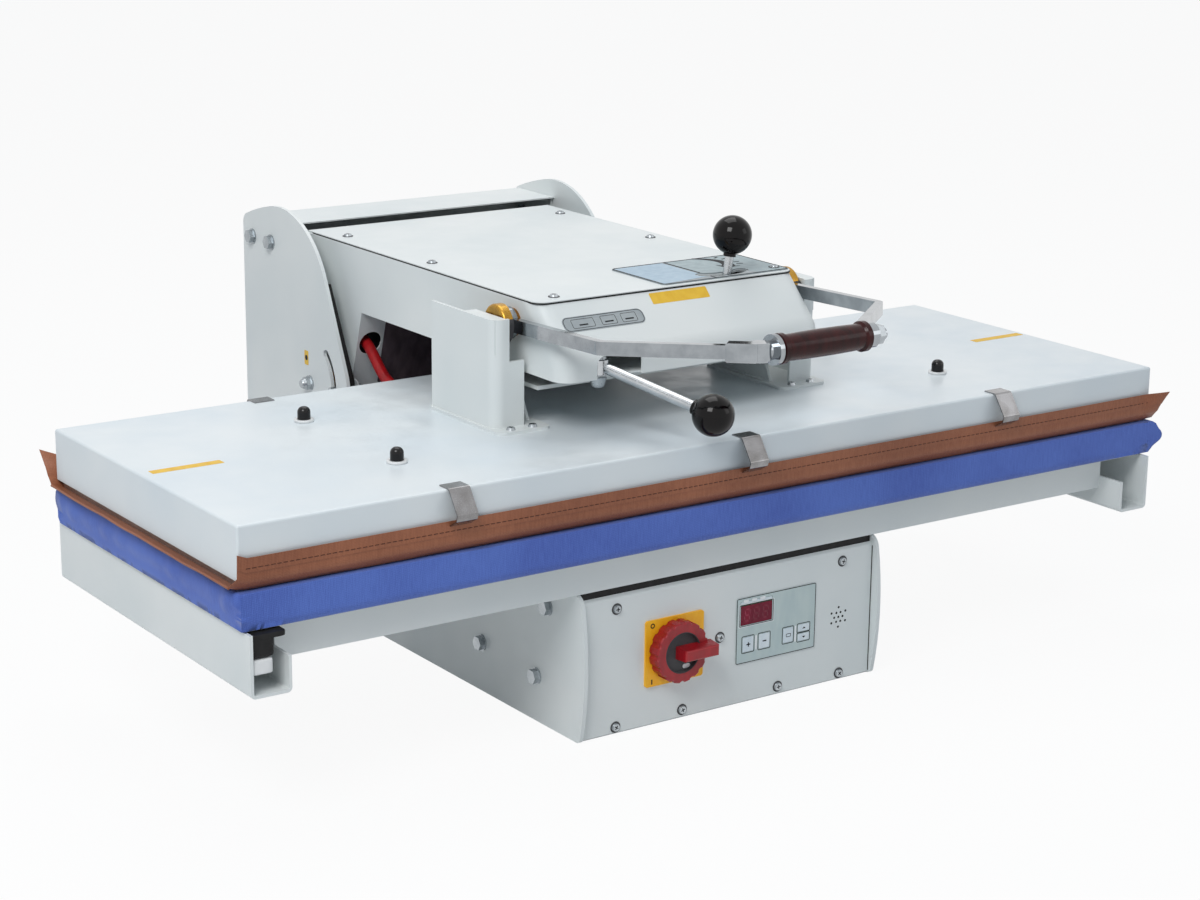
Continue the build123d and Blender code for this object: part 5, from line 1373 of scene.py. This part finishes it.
@dataclass
class ControlPanel:
    """Prints, keys, display and switch dress of the front panel, in millimetres on it."""

    # Body and mark of each key, its centre and its size
    keys: tuple[tuple[str, str, float, float, float, float], ...] = (
        ("plus_key", "plus_mark", 20.0, 62.0, 13.0, 15.0),
        ("minus_key", "minus_mark", 40.5, 62.0, 13.0, 15.0),
        ("set_key", "set_mark", 71.0, 62.0, 12.0, 15.0),
        ("up_key", "up_mark", 91.0, 66.5, 14.0, 7.0),
        ("down_key", "down_mark", 91.0, 56.5, 14.0, 7.0),
    )
    window: tuple[float, float] = (30.0, 92.8)
    switch: tuple[float, float] = (-71.5, 75.0)
    # Radius and height of the knob's cup, from the middle of its underside to that of its floor
    cup: tuple[tuple[float, float], ...] = (
        (0.0, 11.4), (20.9, 11.4), (20.9, 16.2), (20.3, 16.2), (19.9, 11.9), (0.0, 11.9),
    )
    cup_steps: int = 64

    def foil(self) -> None:
        """Print the foil: frames round the keys, bars between them, marks over the display."""
        ink = Prints(PANEL, 1.0, 0.12)
        for _, _, first, second, width, height in self.keys:
            ink.frame(first, second, width + 3.2, height + 3.2, 1.6, 0.7)
        ink.frame(*self.window, 43.0, 23.0, 1.2, 0.6)
        ink.piece("foil_ink", "base", INK_AND_SHADE, "overlay")
        white = Prints(PANEL, 1.0, 0.1)
        white.area(rounded(30.25, 62, 2.0, 15, 0.6)).area(rounded(80.6, 61.5, 2.0, 17, 0.6))
        white.frame(*self.window, 44.6, 24.6, 1.6, 0.7)
        for column in (16.5, 27.0, 37.5):
            white.area(rounded(column, 107.4, 6.4, 3.0, 0.5))
        white.piece("foil_white", "base", WHITE_INK, "overlay")
        edge = Prints(PANEL, 0.9, 0.2)
        edge.frame(55.5, 77, 100.6, 68.6, 1.8, 0.7)
        edge.piece("foil_edge", "base", INK_AND_SHADE, "overlay")

    def marks(self) -> None:
        """Give each key its generic mark."""
        for body, name, first, second, _, _ in self.keys:
            mark = Prints(PANEL, 1.8, 0.08)
            if name == "plus_mark":
                corner = [(2.4, -0.6), (2.4, 0.6), (0.6, 0.6)]
                outline = []
                for _ in range(4):
                    outline += [(first + right, second + up) for right, up in corner]
                    corner = [(-up, right) for right, up in corner]
                mark.area(outline)
            elif name == "minus_mark":
                mark.area(rounded(first, second, 4.8, 1.3, 0.3))
            elif name == "set_mark":
                mark.frame(first, second, 6.0, 3.6, 0.6, 0.6)
            else:
                tip = 0.95 if name == "up_mark" else -0.95
                foot = second - tip
                mark.area([(first - 2.2, foot), (first + 2.2, foot), (first, second + tip)])
            mark.piece(name, body, INK_AND_SHADE, "key")

    def display(self) -> None:
        """Fill the window with its red filter and three unlit digits."""
        level = self.window[1]
        dark = Prints(PANEL, 0.5, 0.45).area(rounded(*self.window, 39.0, 20.0, 0.8))
        dark.piece("display_filter", "base", DISPLAY, "switch_body")
        blank = Prints(PANEL, 0.5, 0.3).area(rounded(self.window[0], 105.4, 39.0, 3.6, 0.5))
        blank.piece("window_blank", "base", KEY_CAP, "switch_body")
        bars = ((0, 6, 0), (0, 0, 0), (0, -6, 0), (-3, 3, 1), (3, 3, 1), (-3, -3, 1), (3, -3, 1))
        spots, turns = [], []
        for middle in (18.5, 30.0, 41.5):
            for first, second, upright in bars:
                spots.append(PANEL.point(middle + first + 0.12 * second, level + second, 0.96))
                turns.append((90.0, 83.0 * upright, 0.0))
        segment = Repeat(Shape.SEGMENT, 5.2, 1.1, 0.06)
        segment.lay("display_segments", spots, turns, "base", SEGMENT, "switch_body")

    def knob_cup(self) -> None:
        """Line the knob's recess with its black cup, lay a painted highlight on its floor and set the marks
        beside it.
        """
        bm = bmesh.new()
        loops = []
        for radius, lift in self.cup:
            turns = [math.tau * at / self.cup_steps for at in range(self.cup_steps if radius else 1)]
            loops.append([
                bm.verts.new(PANEL.point(
                    self.switch[0] + radius * math.cos(turn), self.switch[1] + radius * math.sin(turn), lift
                ))
                for turn in turns
            ])
        bridge(bm, loops, caps=False)
        new_piece("knob_recess", mesh_of("knob_recess", bm, 30.0), "switch", BLACK_NYLON_AND_SHADE)
        # Painted highlight: a small pale patch on the cup's floor below the knob's bar
        glint = Prints(PANEL, 11.9, 0.3)
        glint.area(rounded(self.switch[0] + 7, self.switch[1] - 15.5, 9.0, 4.4, 2.1))
        glint.piece("knob_painted_glint", "switch", WHITE_NYLON, "red_plastic")
        left, above, below = self.switch[0] - 27, self.switch[1] + 28.5, self.switch[1] - 29
        state = Prints(PANEL, 2.0, 0.1)
        state.area(rounded(left, below, 1.4, 5.0, 0.3))
        state.line(arc(left, above, 2.6, 0, 345, 23), arc(left, above, 1.5, 0, 345, 23))
        state.piece("switch_state_marks", "base", INK_AND_SHADE, "yellow_plastic")

    def build(self) -> None:
        """Dress the panel."""
        self.foil()
        self.marks()
        self.display()
        self.knob_cup()


@dataclass
class Labels:
    """Blank strips and plates on platen, nose and column, and the top lever's scale."""

    # The lever's pivot on the scale plate, and the edge and round ends of the slot about it
    pivot: tuple[float, float] = (84.0, 10.0)
    slot_edge: float = 42.0
    slot_left: tuple[float, float] = (59.8, -33.7)
    slot_right: tuple[float, float] = (108.2, -33.7)
    slot_round: float = 8.5
    arrow_reach: float = 33.0
    arrow_steps: int = 14

    def strips(self) -> None:
        """Lay the blank strips and plates."""
        strips = Prints(PLATEN_TOP, 0.0, 0.15)
        strips.area(rounded(-503, 0, 72, 11, 1.2)).area(rounded(508, 5, 72, 11, 1.2))
        strips.piece("platen_strips", "platen", YELLOW_VINYL, "yellow_plastic")
        nose = Prints(NOSE, 0.0, 0.15).area(rounded(6, 54.5, 70, 13, 1.2))
        nose.piece("nose_strip", "arm", YELLOW_VINYL, "yellow_plastic")
        plate = Prints(NOSE, 0.0, 0.4).area(rounded(-93.5, 37.5, 95, 17, 6.5))
        plate.piece("nose_plate", "arm", GREY_LABEL, "aluminium")
        rim = Prints(NOSE, 0.4, 0.08).frame(-93.5, 37.5, 93.4, 15.4, 5.8, 0.6)
        for first, wide in ((-118, 26), (-88, 18), (-64, 18)):
            rim.frame(first, 37.5, wide, 10.4, 1.6, 0.45)
            rim.area([(first - 5, 35.0), (first + 5, 35.0), (first + 5, 36.6), (first - 5, 36.6)])
        rim.piece("nose_plate_rim", "arm", INK_AND_SHADE, "overlay")
        patch = Prints(LEFT_CHEEK, 0.0, 0.15).area(rounded(-361, 275, 9, 16, 1.5))
        patch.piece("column_patch", "base", YELLOW_VINYL, "yellow_plastic")
        dot = Prints(LEFT_CHEEK, 0.15, 0.05).area(arc(-361, 275, 3.0, 0, 350, 23))
        dot.piece("column_patch_dot", "base", INK_AND_SHADE, "overlay")

    def scale(self) -> None:
        """Print the lever's scale round its slot: two fields, divider, frame, arrow and ticks."""
        blue = Prints(SCALE_TOP, 0.0, 0.12)
        blue.area([(-1, 37), (-1, -51)] + arc(*self.slot_left, self.slot_round, 265, 95, 9) + [(59, 37)])
        blue.piece("scale_panel", "arm", BLUE_PRINT, "overlay")
        grey = Prints(SCALE_TOP, 0.0, 0.12)
        slot = arc(*self.pivot, self.slot_edge, -118, -61)
        slot += arc(*self.slot_right, self.slot_round, 90, -60, 9)
        grey.area([(64, 37)] + slot + [(116, -51), (154, -51), (154, 37)])
        grey.piece("scale_field", "arm", GREY_PRINT, "aluminium")
        ink = Prints(SCALE_TOP, 0.0, 0.30)
        ink.area(rounded(62.3, 6.5, 1.3, 62, 0.3)).area(rounded(62.3, -47.5, 1.3, 9, 0.3))
        ink.frame(76, -7, 159, 93, 4.8, 0.9)
        ink.area(self.arrow())
        for angle in (28, 16, 4, -8, -20):
            near = arc(*self.pivot, 43, angle - 1.4, angle + 1.4, 1)
            ink.area(near + arc(*self.pivot, 50, angle + 1.2, angle - 1.2, 1))
        ink.piece("scale_print", "arm", INK_AND_SHADE, "overlay")

    def arrow(self) -> Outline:
        """Outline a curved arrow that grows towards its head, round the lever's pivot.

        Returns:
            The outline on the scale plate.
        """
        outer, inner = [], []
        for step in range(self.arrow_steps + 1):
            share = step / self.arrow_steps
            turn = 62 - 100 * share
            half = 2.0 + 5.0 * share
            outer += arc(*self.pivot, self.arrow_reach + half, turn, turn, 1)[:1]
            inner += arc(*self.pivot, self.arrow_reach - half, turn, turn, 1)[:1]
        head = ((45, -34), (self.arrow_reach, -58), (20, -34))
        barbs = [arc(*self.pivot, reach, turn, turn, 1)[0] for reach, turn in head]
        return outer + barbs + list(reversed(inner))

    def build(self) -> None:
        """Lay the strips, then the scale."""
        self.strips()
        self.scale()


@dataclass
class Fittings:
    """Small rubber, nylon and steel parts, seal strips, welds and stitches, and dark pieces of painted shade,
    in millimetres.
    """

    # Height of a screw's recess and of the middle of the dark ring round its head, over its seat; both are
    # painted shade
    screw_top: float = 2.55
    shade_ring_middle: float = 0.3
    panel_screws: tuple[tuple[float, float], ...] = (
        (-140, 128), (140, 128), (-140, 7.5), (140, 7.5), (-60, 9), (60, 9), (-15, 75.5),
    )
    cover_screws: tuple[tuple[float, float, float], ...] = (
        (-127, -41, 408), (146, -40, 409), (-139, 168, 408),
        (139, 168, 408), (-139, 345, 408), (139, 345, 408),
    )
    # Centre of the bail's cross shaft, seen from the right: depth and height
    shaft: tuple[float, float] = (-20.0, 383.0)
    sound_holes: tuple[float, float] = (137.5, 68.5)
    # Depth and height along the front edge of the column's side plates
    cheek_edge: tuple[tuple[float, float], ...] = (
        (272, 152), (272, 255), (274.5, 268), (278, 277), (288, 299), (298, 321), (309, 345), (318, 364),
    )

    def crosses(self) -> None:
        """Paint the screw heads' cross recesses as dark crosses over dark rings round the heads: painted
        shade in the recesses and in the gap under the heads.
        """
        recess = Repeat(Shape.CROSS, 4.6, 4.6, 0.2)
        shade_ring = Repeat(Shape.WASHER, 11.4, 11.4, 0.6)
        spots = [PANEL.point(*spot, self.screw_top) for spot in self.panel_screws]
        turns = [(90.0, 17.0 * at, 0.0) for at in range(len(spots))]
        recess.lay("panel_screw_recesses", spots, turns, "base", INK_AND_SHADE, "black_paint")
        spots = [PANEL.point(*spot, self.shade_ring_middle) for spot in self.panel_screws]
        turns = [FACING] * len(spots)
        shade_ring.lay("panel_shade_rings", spots, turns, "base", BLACK_NYLON_AND_SHADE, "black_nylon")
        seats = [Vector(spot) * MM for spot in self.cover_screws]
        spots = [seat + Z * self.screw_top * MM for seat in seats]
        turns = [(0.0, 0.0, 23.0 * at) for at in range(len(spots))]
        recess.lay("cover_screw_recesses", spots, turns, "arm", INK_AND_SHADE, "black_paint")
        spots = [seat + Z * self.shade_ring_middle * MM for seat in seats]
        flat = [LYING] * len(spots)
        shade_ring.lay("cover_shade_rings", spots, flat, "arm", BLACK_NYLON_AND_SHADE, "black_nylon")
        spots = [Vector((x, -56, 286 + self.screw_top)) * MM for x in (-186, -161, 161, 186)]
        recess.lay("bracket_screw_recesses", spots, turns[:4], "platen", INK_AND_SHADE, "black_paint")

    def washers(self) -> None:
        """Set white nylon washers under the cap nuts."""
        spots = [Vector((x, y, 284.3)) * MM for x in (-333, 333) for y in (-90, 90)]
        washer = Repeat(Shape.WASHER, 19.6, 19.6, 2.6)
        washer.lay("cap_washers", spots, [LYING] * 4, "platen", WHITE_NYLON, "black_cap")

    def buffers(self) -> None:
        """Hang rubber buffers with nylon feet in the ends of the left leg channel."""
        for name, middle, size, finish, slot in (
            ("leg_buffer_caps", (-525.2, 182.8), (33.0, 30.0, 5.6), RUBBER_AND_SHADE, "black_nylon"),
            ("leg_buffers", (-531, 173.5), (21.4, 29.6, 20.0), RUBBER_AND_SHADE, "black_nylon"),
            ("buffer_feet", (-531.5, 155.5), (20.0, 29.0, 15.0), WHITE_NYLON, "overlay"),
        ):
            spots = [Vector((middle[0], depth, middle[1])) * MM for depth in (-186, 186)]
            Repeat(Shape.BUFFER, *size).lay(name, spots, [LYING] * 2, "base", finish, slot)

    def sound_hole_shade(self) -> None:
        """Fill the sound holes with black discs, flush in each hole: painted shade of the holes' insides."""
        holes = [self.sound_holes]
        for ring, first in ((5.5, 0.0), (10.5, 30.0)):
            holes += arc(*self.sound_holes, ring, first, first + 300, 5)
        spots = [PANEL.point(*hole) for hole in holes]
        disc = Repeat(Shape.DISC, 2.5, 2.5, 0.12)
        disc.lay("sound_hole_shade", spots, [FACING] * len(spots), "base", RUBBER_AND_SHADE, "black_nylon")

    def shaft_shades(self) -> None:
        """Cover the shaft's openings in the arm's sides with black: painted shade in the gap between bracket
        and arm.
        """
        depth, height = self.shaft
        for name, plane, way in (("left_shaft_shade", LEFT_ARM_SIDE, -1), ("right_shaft_shade", RIGHT_ARM_SIDE, 1)):
            shaft_shade = Prints(plane, 0.05, 0.5)
            outer = rounded(-21.5 * way, 367.5, 53, 57, 4)
            shaft_shade.line(outer, rounded(depth * way, height, 25, 25, 12.4))
            shaft_shade.piece(name, "arm", RUBBER_AND_SHADE, "black_nylon")

    def hub_shades(self) -> None:
        """Wrap the front of the brass hubs in black pieces that turn with the bail: painted shade in the gap
        between bracket and arm.
        """
        for name, plane, way, start in (
            ("left_hub_shade", LEFT_HUB, -1, -115), ("right_hub_shade", RIGHT_HUB, 1, 158),
        ):
            depth, height = self.shaft[0] * way, self.shaft[1]
            hub_shade = Prints(plane, 0.0, 9.7)
            outer = arc(depth, height, 21.0, start, start + 137, 24)
            hub_shade.area(outer + arc(depth, height, 20.05, start + 137, start, 24))
            hub_shade.piece(name, "bail", BLACK_NYLON_AND_SHADE, "black_nylon")

    def panel_seams(self) -> None:
        """Lay the seal under the rail and the dark joint at the panel's right edge."""
        bm = bmesh.new()
        section = ((-168.4, 141.8), (-164.6, 143.6), (-164.6, 148.9), (-168.4, 148.9))
        bridge(bm, [[bm.verts.new(Vector((x, y, z)) * MM) for y, z in section] for x in (-178.0, 178.5)])
        new_piece("rail_seal", mesh_of("rail_seal", bm, 20.0), "base", RUBBER_AND_SHADE)
        joint = Prints(PANEL, -0.3, 0.5).area(rounded(179.4, 70.5, 1.0, 135, 0.4))
        joint.piece("panel_joint", "base", RUBBER_AND_SHADE, "black_nylon")

    def shade_board(self) -> None:
        """Stand a dark board in front of the arm's leg, beside the lead's hole: painted shade on the wall
        that lies in shadow.
        """
        rake = 38.0 / 132.0
        foot = Vector((0, 280 + (337 - 250) * rake, 250)) * MM
        board = Prints(Plane(foot, X, (Z - Y * rake).normalized()), 0.2, 0.6)
        board.area(rounded(0.5, 44, 257, 84, 2))
        board.piece("painted_shade_board", "arm", SHADE_BOARD, "black_nylon")

    def beads(self) -> None:
        """Run weld beads where the gussets meet the feet of the brackets."""
        spots = [
            Vector((side * 149.6, -30 + 1.7 * at + 0.2 * math.sin(2.3 * at), 286.4)) * MM
            for side in (-1, 1) for at in range(36)
        ]
        turns = [(0.0, 0.0, 7.0 * math.sin(1.7 * at)) for at in range(len(spots))]
        bead = Repeat(Shape.BEAD, 3.6, 2.8, 2.6)
        bead.lay("bracket_beads", spots, turns, "platen", BODY_PAINT, "paint")

    def stitches(self, cloth: ReleaseSheet) -> None:
        """Sew the hems of the release sheet.

        Args:
            cloth: the sheet, which says where its hems run.
        """
        spots = []
        for across in (-1.0, 1.0):
            for at in range(181):
                spot = cloth.place(-0.972 + 1.944 * at / 180, across, 0.0205)
                spot.y += math.copysign(0.00088, across)
                spots.append(spot)
        stitch = Repeat(Shape.STITCH, 4.2, 0.5, 0.8)
        stitch.lay("hem_stitches", spots, [LYING] * len(spots), "platen", THREAD, "release_cloth")

    def gasket(self) -> None:
        """Bed the arm's top cover on a black gasket that shows as a dark line."""
        line = Prints(COVER_SEAT, -0.25, 1.35)
        line.line(rounded(0, 170, 317.4, 461.4, 14.7), rounded(0, 170, 312, 456, 12))
        line.piece("cover_gasket", "arm", RUBBER_AND_SHADE, "black_nylon")

    def edge_shades(self) -> None:
        """Fit black edge strips inside the front edges of the column's side plates: painted shade in the gap
        between each plate and the arm.
        """
        edge = [Vector(spot) for spot in self.cheek_edge]
        last = len(edge) - 1
        for name, side, slim in (("left_edge_shade", -1, 171.5), ("right_edge_shade", 1, 173.5)):
            bm = bmesh.new()
            rings = []
            for at, spot in enumerate(edge):
                run = (edge[min(last, at + 1)] - edge[max(0, at - 1)]).normalized()
                lip = slim + 3.5 * at / last
                rings.append([
                    bm.verts.new(Vector((side * x, spot.x + run.y * depth, spot.y - run.x * depth)) * MM)
                    for x, depth in ((180, 0.6), (lip + 0.8, 0.6), (lip, 1.6), (lip, 5.0), (180, 7.0))
                ])
            bridge(bm, rings)
            new_piece(name, mesh_of(name, bm, 35.0), "base", RUBBER_AND_SHADE)

    def build(self, cloth: ReleaseSheet) -> None:
        """Make them all.

        Args:
            cloth: the release sheet, which its stitches follow.
        """
        self.crosses()
        self.washers()
        self.buffers()
        self.beads()
        self.stitches(cloth)
        self.sound_hole_shade()
        self.shaft_shades()
        self.hub_shades()
        self.panel_seams()
        self.shade_board()
        self.gasket()
        self.edge_shades()


def dress_nodes() -> None:
    """Give every CAD node that stays in sight its finish."""
    for name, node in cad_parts.items():
        finish = NODE_FINISHES[name].material()
        for place in node.material_slots:
            place.material = finish
        if not node.material_slots:
            node.data.materials.append(finish)
        log.info("node %s: %s", name, finish.name)


def main() -> None:
    """Build the looks in order: studio, cord, soft goods, nodes and details."""
    logging.basicConfig(level=logging.INFO, format="%(message)s")
    Studio().build()
    HeaterLead().build()
    dress_nodes()
    PressingPad().build()
    cloth = ReleaseSheet()
    cloth.build()
    ControlPanel().build()
    Labels().build()
    Fittings().build(cloth)


if __name__ == "__main__":
    main()
